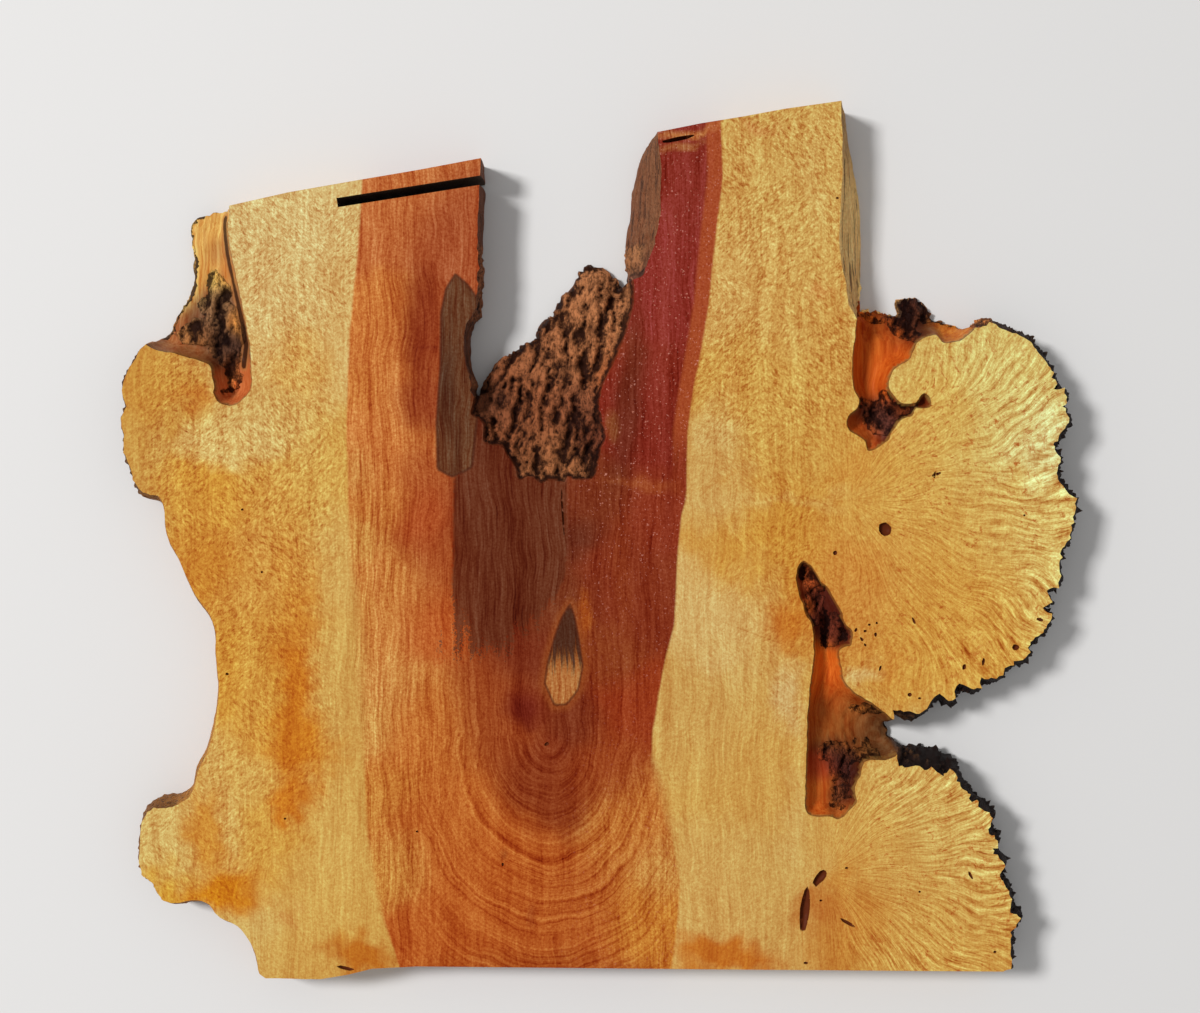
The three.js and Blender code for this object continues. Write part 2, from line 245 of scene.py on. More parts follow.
def grown_relief_tree():
    """Moves a surface out by burl pegs, bark plates and flutes, each where its weight says.

    The weights and the direction are attributes of the mesh; the height that was reached,
    from 0 in a furrow to 1 on a ridge, is stored as the attribute "relief"."""
    tree = bpy.data.node_groups.new("grown_relief", "GeometryNodeTree")
    face = tree.interface
    face.new_socket(name="Geometry", in_out="INPUT", socket_type="NodeSocketGeometry")
    for name, value in (("Peg height", 5.5 * MM), ("Peg spacing", 5.4 * MM),
                        ("Bark height", 7.5 * MM), ("Plate size", 7.5 * MM),
                        ("Flute depth", 1.8 * MM), ("Seed", 7.0)):
        face.new_socket(name=name, in_out="INPUT", socket_type="NodeSocketFloat")
        face.items_tree[name].default_value = value
    face.new_socket(name="Wood", in_out="INPUT", socket_type="NodeSocketMaterial")
    face.new_socket(name="Geometry", in_out="OUTPUT", socket_type="NodeSocketGeometry")
    given = tree.nodes.new("NodeGroupInput").outputs
    seed = given["Seed"]

    def stored(name, kind="FLOAT"):
        """A value that the mesh keeps for each point."""
        return wire(tree, "GeometryNodeInputNamedAttribute", {"Name": name},
                    {"data_type": kind}).outputs[0]

    place = tree.nodes.new("GeometryNodeInputPosition").outputs[0]
    waver = noise_at(tree, place, 60.0, detail=2.0, seed=seed)
    spread = wire(tree, "ShaderNodeTexNoise",
                  {"Vector": place, "Scale": 45.0, "Detail": 2.0, "W": seed},
                  {"noise_dimensions": "4D"}).outputs[1]
    moved = vector_calc(tree, "SUBTRACT", spread, (0.5, 0.5, 0.5))
    moved = wire(tree, "ShaderNodeVectorMath", {0: moved, "Scale": 0.014},
                 {"operation": "SCALE"}).outputs[0]
    strayed = vector_calc(tree, "ADD", place, moved)

    # Pegs: a cone over each cell, some tall and some stunted.
    cells = wire(tree, "ShaderNodeTexVoronoi",
                 {"Vector": vector_calc(tree, "MULTIPLY", strayed, (1.0, 1.0, 0.62)),
                  "Scale": calc(tree, "DIVIDE", 1.0, given["Peg spacing"])},
                 {"feature": "F1"})
    tall = calc(tree, "MULTIPLY_ADD", wire(tree, "ShaderNodeSeparateXYZ",
                                           {"Vector": cells.outputs["Color"]}).outputs[0],
                0.75, 0.35)
    cone = ramp(tree, cells.outputs["Distance"], 0.62, 0.04)
    peg = calc(tree, "MULTIPLY", calc(tree, "POWER", cone, 1.4), tall)

    # Bark: upright ridges parted by furrows, with a crumbled surface.
    parts = wire(tree, "ShaderNodeSeparateXYZ", {0: strayed}).outputs
    sheared = wire(tree, "ShaderNodeCombineXYZ", {
        0: calc(tree, "MULTIPLY_ADD", parts[1], -0.18, parts[0]),
        1: calc(tree, "MULTIPLY", parts[1], 0.2), 2: parts[2]}).outputs[0]
    ridge = noise_at(tree, sheared, calc(tree, "DIVIDE", 1.0, given["Plate size"]),
                     detail=3.0, roughness=0.6, distortion=0.5, seed=seed)
    ridge = ramp(tree, ridge, 0.38, 0.58)
    crumb = noise_at(tree, vector_calc(tree, "MULTIPLY", place, (1.0, 0.5, 1.0)), 230.0,
                     detail=3.0, roughness=0.65, seed=seed)
    bark = calc(tree, "ADD", calc(tree, "MULTIPLY", ridge, 0.62),
                calc(tree, "MULTIPLY", ramp(tree, crumb, 0.3, 0.7), 0.38))

    # Flutes: long grooves that follow the grain.
    grain_place = vector_calc(tree, "MULTIPLY", place, (1.0, 0.06, 0.75))
    flute = noise_at(tree, grain_place, 260.0, detail=3.0, distortion=0.3, seed=seed)
    flute = ramp(tree, flute, 0.34, 0.62)

    share = {name: stored(name) for name in ("pegs", "bark", "flutes")}
    height = calc(tree, "MULTIPLY", calc(tree, "MULTIPLY", share["pegs"], peg),
                  given["Peg height"])
    height = calc(tree, "ADD", height, calc(
        tree, "MULTIPLY", calc(tree, "MULTIPLY", share["bark"],
                               calc(tree, "SUBTRACT", bark, 0.5)), given["Bark height"]))
    height = calc(tree, "ADD", height, calc(
        tree, "MULTIPLY", calc(tree, "MULTIPLY", share["flutes"],
                               calc(tree, "SUBTRACT", flute, 0.7)), given["Flute depth"]))
    height = calc(tree, "ADD", height, calc(
        tree, "MULTIPLY", calc(tree, "SUBTRACT", waver, 0.5),
        calc(tree, "MULTIPLY", stored("loose"), 2.4 * MM)))
    offset = wire(tree, "ShaderNodeVectorMath",
                  {0: stored("direction", "FLOAT_VECTOR"), "Scale": height},
                  {"operation": "SCALE"}).outputs[0]
    reached = calc(tree, "ADD", calc(tree, "MULTIPLY", share["pegs"], peg), calc(
        tree, "ADD", calc(tree, "MULTIPLY", share["bark"], bark),
        calc(tree, "MULTIPLY", share["flutes"], flute)))
    kept = wire(tree, "GeometryNodeStoreNamedAttribute",
                {"Geometry": given["Geometry"], "Name": "relief", "Value": reached},
                {"data_type": "FLOAT", "domain": "POINT"}).outputs[0]
    shifted = wire(tree, "GeometryNodeSetPosition",
                   {"Geometry": kept, "Offset": offset}).outputs[0]
    real = wire(tree, "GeometryNodeRealizeInstances", {0: shifted}).outputs[0]
    wood = wire(tree, "GeometryNodeSetMaterial",
                {"Geometry": real, "Material": given["Wood"]}).outputs[0]
    tree.links.new(wood, tree.nodes.new("NodeGroupOutput").inputs[0])
    return tree


relief_tree = grown_relief_tree()
bare_wood = bpy.data.materials.new("live_edge")


def add_attribute(mesh, name, kind, values):
    """Keeps one value for each point of a mesh."""
    attribute = mesh.attributes.new(name, kind, "POINT")
    field = {"FLOAT": "value", "FLOAT_VECTOR": "vector", "FLOAT_COLOR": "color"}[kind]
    attribute.data.foreach_set(field, np.asarray(values, np.float32).ravel())


def with_relief(mesh, shares, direction):
    """The mesh's points and relief after the geometry nodes have moved it."""
    for column, name in enumerate(("pegs", "bark", "flutes", "loose")):
        add_attribute(mesh, name, "FLOAT", shares[:, column])
    add_attribute(mesh, "direction", "FLOAT_VECTOR", direction)
    holder = bpy.data.objects.new("relief_work", mesh)
    bpy.context.scene.collection.objects.link(holder)
    modifier = holder.modifiers.new("grown_relief", "NODES")
    modifier.node_group = relief_tree
    inputs = {item.name: item.identifier for item in relief_tree.interface.items_tree
              if item.in_out == "INPUT"}
    modifier[inputs["Wood"]] = bare_wood
    made = bpy.data.meshes.new_from_object(
        holder.evaluated_get(bpy.context.evaluated_depsgraph_get()))
    points = np.zeros(len(made.vertices) * 3, np.float32)
    made.vertices.foreach_get("co", points)
    relief = np.zeros(len(made.vertices), np.float32)
    made.attributes["relief"].data.foreach_get("value", relief)
    bpy.data.objects.remove(holder)
    bpy.data.meshes.remove(made)
    return points.reshape(-1, 3), relief


walls.verts.index_update()
wall_points = np.array([v.co for v in walls.verts], float)
wall_faces = np.array([[v.index for v in f.verts] for f in walls.faces])
wall_sawn = np.array([f[finish] for f in walls.faces])
outward = np.array([v.normal for v in walls.verts], float)
outward[:, 2] = 0
outward /= np.maximum(np.linalg.norm(outward, axis=1), 1e-6)[:, None]
rim_ends = np.array([chain[end] for chain in rims for end in (0, -1)])
end_gap = np.min([np.hypot(*(wall_points[:, :2] - end[:2]).T) for end in rim_ends], axis=0)
calm = np.clip((end_gap - 2 * MM) / (8 * MM), 0, 1)
vertex_sawn = [any(f[finish] for f in v.link_faces) for v in walls.verts]
shares = np.array([weights(v.co, sawn) for v, sawn in zip(walls.verts, vertex_sawn)])
shares = np.column_stack([shares, 1.0 - np.array(vertex_sawn, float)]) * calm[:, None]


def longest_loop(edges):
    """The longest closed loop of vertex numbers that a set of edges makes."""
    near = {}
    for a, b in edges:
        near.setdefault(a, []).append(b)
        near.setdefault(b, []).append(a)
    loops, left = [], set(near)
    while left:
        loop = [left.pop()]
        while True:
            onward = [p for p in near[loop[-1]] if p in left]
            if not onward:
                break
            loop.append(onward[0])
            left.discard(onward[0])
        loops.append(loop)
    return max(loops, key=len)


open_edges = [tuple(v.index for v in e.verts) for e in walls.edges if e.is_boundary]
back_loop = longest_loop([e for e in open_edges if all(wall_points[i][2] < TINY for i in e)])
top_loop = longest_loop([e for e in open_edges if any(wall_points[i][2] > TINY for i in e)])

wall_mesh = bpy.data.meshes.new("wall_work")
walls.to_mesh(wall_mesh)
moved_points, wall_relief = with_relief(wall_mesh, shares, outward)


def crossings(points, loop):
    """The loop's members near which its line crosses itself, seen from above."""
    flat = [Vector(points[i][:2]) / MM for i in loop]
    edges = [(k, (k + 1) % len(loop)) for k in range(len(loop))]
    found = geometry.delaunay_2d_cdt(flat, edges, [], 0, 1e-5)
    extra = [v for v, source in zip(found[0], found[3]) if len(source) != 1]
    if not extra:
        return []
    tree = kdtree.KDTree(len(flat))
    for k, point in enumerate(flat):
        tree.insert((*point, 0), k)
    tree.balance()
    return sorted({loop[k] for v in extra for _, k, _ in tree.find_range((*v, 0), 4.0)})


# Where pegs pushed the outline across itself, its points are eased until it is plain again.
EASINGS = 40
for loop in (top_loop, back_loop):
    place_of = {i: k for k, i in enumerate(loop)}
    for _ in range(EASINGS):
        tangled = crossings(moved_points, loop)
        if not tangled:
            break
        eased = {i: (moved_points[loop[place_of[i] - 1]][:2] + 2 * moved_points[i][:2]
                     + moved_points[loop[(place_of[i] + 1) % len(loop)]][:2]) / 4
                 for i in tangled}
        for i, flat in eased.items():
            moved_points[i][:2] = flat

# ---- Slab: the planed face with the folds that open into it ----
# Seen from above, the face and its folds are one sheet. It is flat on the face, rolls over the
# rims, and falls along each fold's floor to the bark lip; small bark-filled pits dot the face.
RIM_STEP = 2.2
FACE_STEP = 4.6
HEART_STEP = 3.6
FOLD_STEP = 2.3
MIDDLE = (0.229, -2.478)  # the middle of the slab's box on the maker's drawing, mm
STRAY_SEED = 7
noise.seed_set(STRAY_SEED)  # every stray of the rims, the bark's borders and the tones


def drawn(x, y):
    """A point of the drawing, whose origin is near the pith, in millimetres off the middle."""
    return x - MIDDLE[0], y - MIDDLE[1]


flat_top = [tuple(moved_points[i][:2] / MM) for i in top_loop]
sheet_points = list(flat_top)
sheet_heights = [moved_points[i][2] for i in top_loop]
sheet_edges = [(k, (k + 1) % len(top_loop)) for k in range(len(top_loop))]
source_top = kdtree.KDTree(len(top_loop))
for k, i in enumerate(top_loop):
    source_top.insert(wall_points[i], k)
source_top.balance()
rim_lines = []
for chain in rims:
    ends = [source_top.find(Vector(chain[end]))[1] for end in (0, -1)]
    hand = [np.array(p[:2]) / MM for p in chain]
    line = []
    for k in range(len(hand) - 1):
        before, here = hand[max(k - 1, 0)], hand[k]
        onward, after = hand[k + 1], hand[min(k + 2, len(hand) - 1)]
        pieces = max(1, round(float(np.linalg.norm(onward - here)) / RIM_STEP))
        for piece in range(pieces):
            t = piece / pieces
            curve = 0.5 * (2 * here + (onward - before) * t
                           + (2 * before - 5 * here + 4 * onward - after) * t * t
                           + (3 * here - before - 3 * onward + after) * t ** 3)
            stray = noise.noise_vector(Vector((*curve, 0)) * 0.16) * 0.9
            line.append((curve[0] + stray.x, curve[1] + stray.y))
    first = len(sheet_points)
    inner = line[1:]
    sheet_points += inner
    sheet_heights += [face_z] * len(inner)
    numbers = [ends[0], *range(first, first + len(inner)), ends[1]]
    sheet_edges += list(zip(numbers, numbers[1:]))
    rim_lines.append(np.array([sheet_points[k] for k in numbers]))
rim_count = len(sheet_points)

# Bark-filled pits: (x, y, half length, half width, turn in degrees, depth), on the drawing.
PITS = [
    (247, 8, 6.5, 5.5, -40, 4), (291.5, 55.5, 4.5, 1.4, 20, 2), (290, 55, 3, 1.2, 80, 2),
    (204, -12.5, 2.0, 2.0, 0, 2), (367.5, 20, 1.2, 1.0, 0, 1.5), (381, -70, 3.2, 1.6, -15, 2),
    (222, -79, 1.8, 1.3, 60, 2), (230, -80, 1.5, 1.1, 0, 2), (233.5, -74.5, 1.3, 1.0, 0, 2),
    (240, -73, 1.2, 1.0, 0, 2), (239, -83, 1.3, 2.0, 0, 2), (227, -87, 2.2, 1.2, -50, 2),
    (230, -92, 1.6, 1.0, -50, 2), (243, -112, 2.6, 1.1, 70, 2), (268.5, -135, 2.0, 1.8, 0, 2),
    (277, -138, 1.5, 1.0, 0, 2), (315.5, -111, 1.8, 2.6, -15, 2.5),
    (332, -106.5, 1.5, 3.4, -10, 2.5), (360, -94, 3.4, 2.6, 0, 3), (272, -71, 1.2, 3.4, 25, 1.5),
    (214, -284.5, 1.6, 1.0, 0, 2), (191.7, -312.6, 1.4, 1.0, 0, 2), (277, -305, 1.2, 1.0, 0, 2),
    (342, -357, 1.6, 1.2, 0, 2), (-308, 25, 1.2, 1.0, 0, 1.5), (-291, -29, 1.1, 1.0, 0, 1.5),
    (-321, -117, 1.6, 1.1, 0, 2), (-271, -242, 1.2, 1.0, 0, 1.5), (-157, -253, 1.2, 1, 0, 1.5),
    (-83, -281.5, 1.2, 1.6, 0, 1.5), (-45, -177.5, 2.4, 1.6, 20, 1.5), (206, 294, 1.4, 1, 0, 1.5),
    (191, -293, 8, 4, 50, 4), (178, -320, 20, 4.5, 84, 4), (215, -332, 8, 1.6, -32, 2),
    (321, -291, 4.2, 1.3, -60, 2), (178.6, -366.6, 2, 1.2, 0, 2), (68, 345, 15, 1.9, 11, 9),
    (-31, 22, 1.3, 21, 4, 2), (-219, -371, 8, 1.6, -12, 3),
]
PIT_CORNERS = 12


def distance_to(points, line):
    """How far each point lies from a line of points, in the same units."""
    best = np.full(len(points), 1e9)
    for a, b in zip(line[:-1], line[1:]):
        along = b - a
        share = np.clip(((points - a) @ along) / max(along @ along, 1e-12), 0, 1)
        gap = points - (a + share[:, None] * along)
        best = np.minimum(best, np.hypot(gap[:, 0], gap[:, 1]))
    return best


pit_rings = []
pit_places = []
for number, (x, y, half_length, half_width, turn, depth) in enumerate(PITS):
    middle = np.array(drawn(x, y))
    turned = math.radians(turn)
    ring = []
    for corner in range(PIT_CORNERS):
        angle = 2 * math.pi * corner / PIT_CORNERS
        rough = 1 + 0.3 * noise.noise(Vector((3 * math.cos(angle), 3 * math.sin(angle), number)))
        a, b = half_length * rough * math.cos(angle), half_width * rough * math.sin(angle)
        ring.append(middle + (a * math.cos(turned) - b * math.sin(turned),
                              a * math.sin(turned) + b * math.cos(turned)))
    pit_rings.append((middle, np.array(ring), depth * MM))
    if half_length > 3:
        pit_places.append((*middle, half_length + 1, half_width + 1, turned))
outline = np.array([*flat_top, flat_top[0]])
for middle, ring, depth in pit_rings:
    if distance_to(ring, outline).min() < 1.5:
        continue
    first = len(sheet_points)
    for share, sunk in ((1.0, 0.0), (0.82, 0.75), (0.45, 1.0)):
        sheet_points += [tuple(middle + (point - middle) * share) for point in ring]
        sheet_heights += [face_z - depth * sunk] * PIT_CORNERS
    sheet_points.append(tuple(middle))
    sheet_heights.append(face_z - depth)
    sheet_edges += [(first + k, first + (k + 1) % PIT_CORNERS) for k in range(PIT_CORNERS)]
pit_count = len(sheet_points)

near_line = kdtree.KDTree(pit_count)
for k, point in enumerate(sheet_points):
    near_line.insert((*point, 0), k)
near_line.balance()


def grid_over(low, high, step):
    """Points in rows of a triangular grid over a box, in millimetres."""
    rows = int((high[1] - low[1]) / (step * 0.866)) + 1
    for row in range(rows):
        shift = step / 2 if row % 2 else 0
        for column in range(int((high[0] - low[0]) / step) + 1):
            yield low[0] + shift + column * step, low[1] + row * step * 0.866


def in_pit(x, y):
    """True inside one of the larger pits."""
    for at_x, at_y, half_length, half_width, turned in pit_places:
        along = (x - at_x) * math.cos(turned) + (y - at_y) * math.sin(turned)
        across = (y - at_y) * math.cos(turned) - (x - at_x) * math.sin(turned)
        if math.hypot(along / half_length, across / half_width) < 1:
            return True
    return False


HEART_LOW, HEART_HIGH = drawn(-222, -374), drawn(112, 350)
ABOVE = 0.2  # a height well over the slab, m
low, high = (np.array(corner[:2]) / MM for corner in (slab_low, slab_high))
for step, wanted in ((FACE_STEP, "face"), (HEART_STEP, "face"), (FOLD_STEP, "fold")):
    for x, y in grid_over(low, high, step):
        in_heart = (HEART_LOW[0] < x < HEART_HIGH[0]) and (HEART_LOW[1] < y < HEART_HIGH[1])
        if wanted == "face" and in_heart != (step == HEART_STEP):
            continue
        _, _, index, _ = surface.ray_cast((x * MM, y * MM, ABOVE), (0, 0, -1))
        if index is None or kind_of[index] != wanted:
            continue
        if near_line.find((x, y, 0))[2] < 0.5 * step or in_pit(x, y):
            continue
        sheet_points.append((x, y))
        sheet_heights.append(face_z)

WELD = 1e-5  # points of a sheet nearer than this are one, mm
made = geometry.delaunay_2d_cdt([Vector(p) for p in sheet_points], sheet_edges, [], 1, WELD)
made_points, _, made_faces, made_from = made[:4]
origin = [source[0] if source else -1 for source in made_from]
blocked = {frozenset(e) for e in sheet_edges[len(top_loop):]}
side_of = {}
for number, face in enumerate(made_faces):
    for a, b in ((0, 1), (1, 2), (2, 0)):
        side_of.setdefault(frozenset((face[a], face[b])), []).append(number)


def on_lip(v, drop):
    """True for a point of the slab's outline that lies lower than the face by more than drop."""
    return 0 <= origin[v] < len(top_loop) and sheet_heights[origin[v]] < face_z - drop


# The folds are filled from their open ends inwards, as far as their rims.
in_fold = set()
queue = [n for n, f in enumerate(made_faces) if sum(on_lip(v, 2 * MM) for v in f) >= 2]
while queue:
    number = queue.pop()
    if number in in_fold:
        continue
    in_fold.add(number)
    face = made_faces[number]
    for a, b in ((0, 1), (1, 2), (2, 0)):
        pair = (origin[face[a]], origin[face[b]])
        if frozenset(pair) in blocked:
            continue
        queue += [n for n in side_of[frozenset((face[a], face[b]))] if n not in in_fold]
sheet_xy = np.array([tuple(p) for p in made_points])
sheet_z = np.array([sheet_heights[o] if o >= 0 else face_z for o in origin])
fold_vertices = sorted({v for n in in_fold for v in made_faces[n]
                        if origin[v] < 0 or origin[v] >= rim_count})
ROLL = 13.0  # how wide the rolled rim of a fold is, mm
SHALLOW, LIP_REACH = 0.68, 25.0  # a fold's depth inside it, and how far from its lip that begins
fold_xy = sheet_xy[fold_vertices]
rim_gap = np.min([distance_to(fold_xy, line) for line in rim_lines], axis=0)
lip_gap = distance_to(fold_xy, np.array([
    p for p, h in zip(flat_top, sheet_heights) if h < face_z - 2 * MM]))
floor_z = []
for x, y in fold_xy:
    here = Vector((x * MM, y * MM, 0))
    _, normal, point = min(fold_planes, key=lambda p: (p[0].xy - here.xy).length)
    floor_z.append(point.z - (normal.x * (here.x - point.x) + normal.y * (here.y - point.y))
                   / normal.z)
floor_z = np.array(floor_z)
rolled = 1 - (1 - np.clip(rim_gap / ROLL, 0, 1)) ** 1.7
shallow = SHALLOW + (1 - SHALLOW) * np.clip(1 - lip_gap / LIP_REACH, 0, 1)
sheet_z[fold_vertices] = face_z - (face_z - floor_z) * rolled * shallow

# ---- Slab: bark and floors of the folds ----
# Old bark grew into the folds. In the fork it is thick and scaly; in the others the wood is
# smooth and amber with a core of bark. The same geometry nodes raise it, straight up this time.
# Ellipses of bark: (x, y, half width, half height, share), on the drawing.
BARK_CORES = [
    (-45, 140, 85, 110, 1.0), (-335, 206, 11, 20, 0.95), (-326, 176, 14, 22, 1.0),
    (-352, 179, 16, 9, 0.9), (-321, 146, 6, 16, 0.8), (244, 106, 15, 14, 1.0),
    (268, 116, 10, 5, 0.6), (282, 201, 24, 10, 0.85), (238, 197, 12, 3, 0.8),
    (180, -32, 6, 12, 0.9), (188, -54, 7, 18, 1), (202, -78, 8, 12, 0.9), (232, -150, 12, 5, 0.6),
    (206, -184, 12, 9, 0.9), (210, -198, 9, 14, 0.9), (226, -186, 14, 6, 0.7),
    (210, -226, 9, 8, 0.7), (268, 188, 11, 13, 0.95),
]


def ellipse_share(points, spots, soft=0.35):
    """The strongest share among (x, y, half width, half height, share) ellipses, softly ended."""
    best = np.zeros(len(points))
    for x, y, half_width, half_height, share in spots:
        far = np.hypot((points[:, 0] - x) / half_width, (points[:, 1] - y) / half_height)
        best = np.maximum(best, share * np.clip((1 + soft - far) / soft, 0, 1))
    return best


def frayed(points):
    """The same points strayed a few millimetres, so that an ellipse comes out as a torn patch."""
    return points + [(noise.noise_vector(Vector((x, y, 0)) * 0.07) * 9
                      + noise.noise_vector(Vector((x, y, 9)) * 0.2) * 4).xy for x, y in points]


bark_share = ellipse_share(frayed(fold_xy + MIDDLE), BARK_CORES)
settled = np.clip(rim_gap / 5, 0, 1) * np.clip(lip_gap / 3, 0, 1)
sheet_shares = np.zeros((len(sheet_xy), 4))
sheet_shares[fold_vertices, 1] = bark_share * settled * 1.3
sheet_shares[fold_vertices, 2] = (1 - bark_share) * settled * 0.8
sheet_bark = np.zeros(len(sheet_xy))
sheet_bark[fold_vertices] = bark_share
sheet_fold = np.zeros(len(sheet_xy))
sheet_fold[fold_vertices] = np.clip(rim_gap / 1.5, 0, 1)
mouth = [v for n in in_fold for v in made_faces[n] if on_lip(v, 1 * MM)]
sheet_fold[mouth] = 1
sheet_bark[mouth] = ellipse_share(frayed(sheet_xy[mouth] + MIDDLE), BARK_CORES)

sheet_mesh = bpy.data.meshes.new("sheet_work")
sheet_mesh.from_pydata([(x * MM, y * MM, z) for (x, y), z in zip(sheet_xy, sheet_z)], [],
                       made_faces)
upward = np.tile((0.0, 0.0, 1.0), (len(sheet_xy), 1))
sheet_final, sheet_relief = with_relief(sheet_mesh, sheet_shares, upward)
sheet_final[:, 2] = np.minimum(sheet_final[:, 2], face_z)

# ---- Slab: one closed skin ----
# Walls, face and back are joined by their shared edge points into a single closed mesh, which
# then takes the place of the frame's node.
BACK_STEP = 12.0
back_xy = [tuple(moved_points[i][:2] / MM) for i in back_loop]
back_points = list(back_xy)
near_back = kdtree.KDTree(len(back_xy))
for k, point in enumerate(back_xy):
    near_back.insert((*point, 0), k)
near_back.balance()
for x, y in grid_over(low, high, BACK_STEP):
    _, _, index, _ = surface.ray_cast((x * MM, y * MM, -ABOVE), (0, 0, 1))
    if index is not None and near_back.find((x, y, 0))[2] > BACK_STEP / 2:
        back_points.append((x, y))
back_edges = [(k, (k + 1) % len(back_loop)) for k in range(len(back_loop))]
back_made = geometry.delaunay_2d_cdt([Vector(p) for p in back_points], back_edges, [], 1, WELD)

points = [tuple(map(float, p)) for p in moved_points]
sheet_number = {}
for v, o in enumerate(origin):
    if 0 <= o < len(top_loop):
        sheet_number[v] = top_loop[o]
    else:
        sheet_number[v] = len(points)
        points.append(tuple(map(float, sheet_final[v])))
sheet_start = len(moved_points)
back_number = {}
for v, source in enumerate(back_made[3]):
    if source and source[0] < len(back_loop):
        back_number[v] = back_loop[source[0]]
    else:
        back_number[v] = len(points)
        points.append((back_made[0][v].x * MM, back_made[0][v].y * MM, 0.0))
PLANED, LIVE, SAWN, BACK = range(4)
faces = [tuple(map(int, f)) for f in wall_faces]
kinds = [SAWN if sawn else LIVE for sawn in wall_sawn]
faces += [tuple(sheet_number[v] for v in f) for f in made_faces]
kinds += [PLANED] * len(made_faces)
faces += [tuple(back_number[v] for v in reversed(f)) for f in back_made[2]]
kinds += [BACK] * len(back_made[2])

skin = bpy.data.meshes.new("maple_burl_slab_skin")
skin.from_pydata(points, [], faces)
skin.polygons.foreach_set("material_index", kinds)
closed = bmesh.new()
closed.from_mesh(skin)
bmesh.ops.recalc_face_normals(closed, faces=closed.faces)
flat_faces = {f for f in closed.faces if all(v.co.z > face_z - TINY for v in f.verts)}
for edge in closed.edges:
    one_kind = len({f.material_index for f in edge.link_faces}) == 1
    edge.smooth = one_kind and sum(f in flat_faces for f in edge.link_faces) != 1
for face in closed.faces:
    face.smooth = True
closed.to_mesh(skin)
closed.free()

# ---- Slab: how its colour varies over the wood ----
# Sapwood is straw yellow, heartwood red-brown with darker stains round the fork and the pith.
# Soft patches of tone are placed on the drawing; distances to the lines where one
# colour stops against another are kept for each point, so that the lines come out crisp.


def srgb(red, green, blue):
    """Linear colour for one given in the usual 0 to 255."""
    return [((c / 255 + 0.055) / 1.055) ** 2.4 for c in (red, green, blue)]


def tone_field(points, samples, spots=()):
    """Colours blended from (x, y, reach, colour) samples, with elliptical spots laid over."""
    total, tones = np.full(len(points), 1e-9), np.zeros((len(points), 3))
    for x, y, reach, colour in samples:
        gap = ((points - (x, y)) ** 2).sum(axis=1) / reach ** 2
        weight = np.exp(-0.5 * gap) + 1e-3 / (1 + gap)
        total += weight
        tones += weight[:, None] * srgb(*colour)
    tones /= total[:, None]
    for x, y, half_width, half_height, turn, strength, colour in spots:
        cos, sin = math.cos(math.radians(turn)), math.sin(math.radians(turn))
        dx, dy = points[:, 0] - x, points[:, 1] - y
        far = np.hypot((dx * cos + dy * sin) / half_width, (dy * cos - dx * sin) / half_height)
        weight = strength * np.clip(1.5 - far, 0, 1)
        weight = weight * weight * (3 - 2 * weight)
        tones += weight[:, None] * (np.array(srgb(*colour)) - tones)
    return tones


# Tones on the drawing: (x, y, reach, colour), and spots over them: (x, y, half width,
# half height, turn in degrees, strength, colour), in millimetres.
SAP = [
    (-290, 240, 40, (210, 182, 118)), (-240, 180, 40, (207, 169, 100)),
    (-370, 130, 28, (194, 138, 56)), (-375, 70, 28, (195, 145, 68)), (-335, 45, 22, (203, 142, 50)),
    (-260, 60, 28, (206, 160, 76)), (-290, 105, 22, (204, 168, 98)),
    (-300, -30, 30, (199, 138, 58)), (-245, -20, 25, (204, 160, 84)),
    (-300, -120, 32, (205, 148, 57)), (-264, -170, 16, (201, 126, 34)),
    (-230, -120, 22, (206, 164, 86)), (-322, -300, 16, (201, 126, 26)),
    (-375, -268, 18, (207, 172, 98)), (-318, -190, 18, (205, 159, 80)),
    (-325, -258, 16, (208, 171, 97)), (-290, -260, 18, (204, 150, 62)),
    (-300, -330, 14, (209, 178, 106)), (-365, -310, 12, (204, 148, 48)),
    (-250, -340, 32, (204, 158, 78)), (-212, -250, 26, (207, 164, 84)),
    (-300, -350, 22, (208, 170, 92)), (150, 300, 45, (205, 164, 88)),
    (110, 230, 26, (205, 160, 88)), (190, 200, 35, (204, 158, 82)), (140, 110, 40, (204, 156, 74)),
    (140, 0, 35, (204, 147, 58)), (95, -60, 24, (210, 174, 106)), (130, -200, 35, (206, 160, 80)),
    (90, -150, 26, (204, 162, 88)), (100, -320, 30, (206, 162, 88)),
    (150, -290, 30, (207, 168, 92)), (300, 20, 50, (204, 152, 70)), (230, -30, 28, (200, 132, 56)),
    (340, 110, 40, (208, 176, 98)), (300, -60, 30, (202, 142, 58)), (380, 80, 20, (211, 190, 124)),
    (380, 10, 30, (208, 168, 90)), (240, 60, 26, (203, 147, 64)), (295, 100, 20, (205, 154, 68)),
    (300, -260, 38, (201, 154, 78)), (290, -345, 35, (198, 142, 64)),
    (215, -320, 24, (192, 122, 46)), (225, -265, 20, (204, 154, 74)),
    (100, 40, 18, (210, 176, 106)), (98, 90, 14, (211, 180, 112)),
]
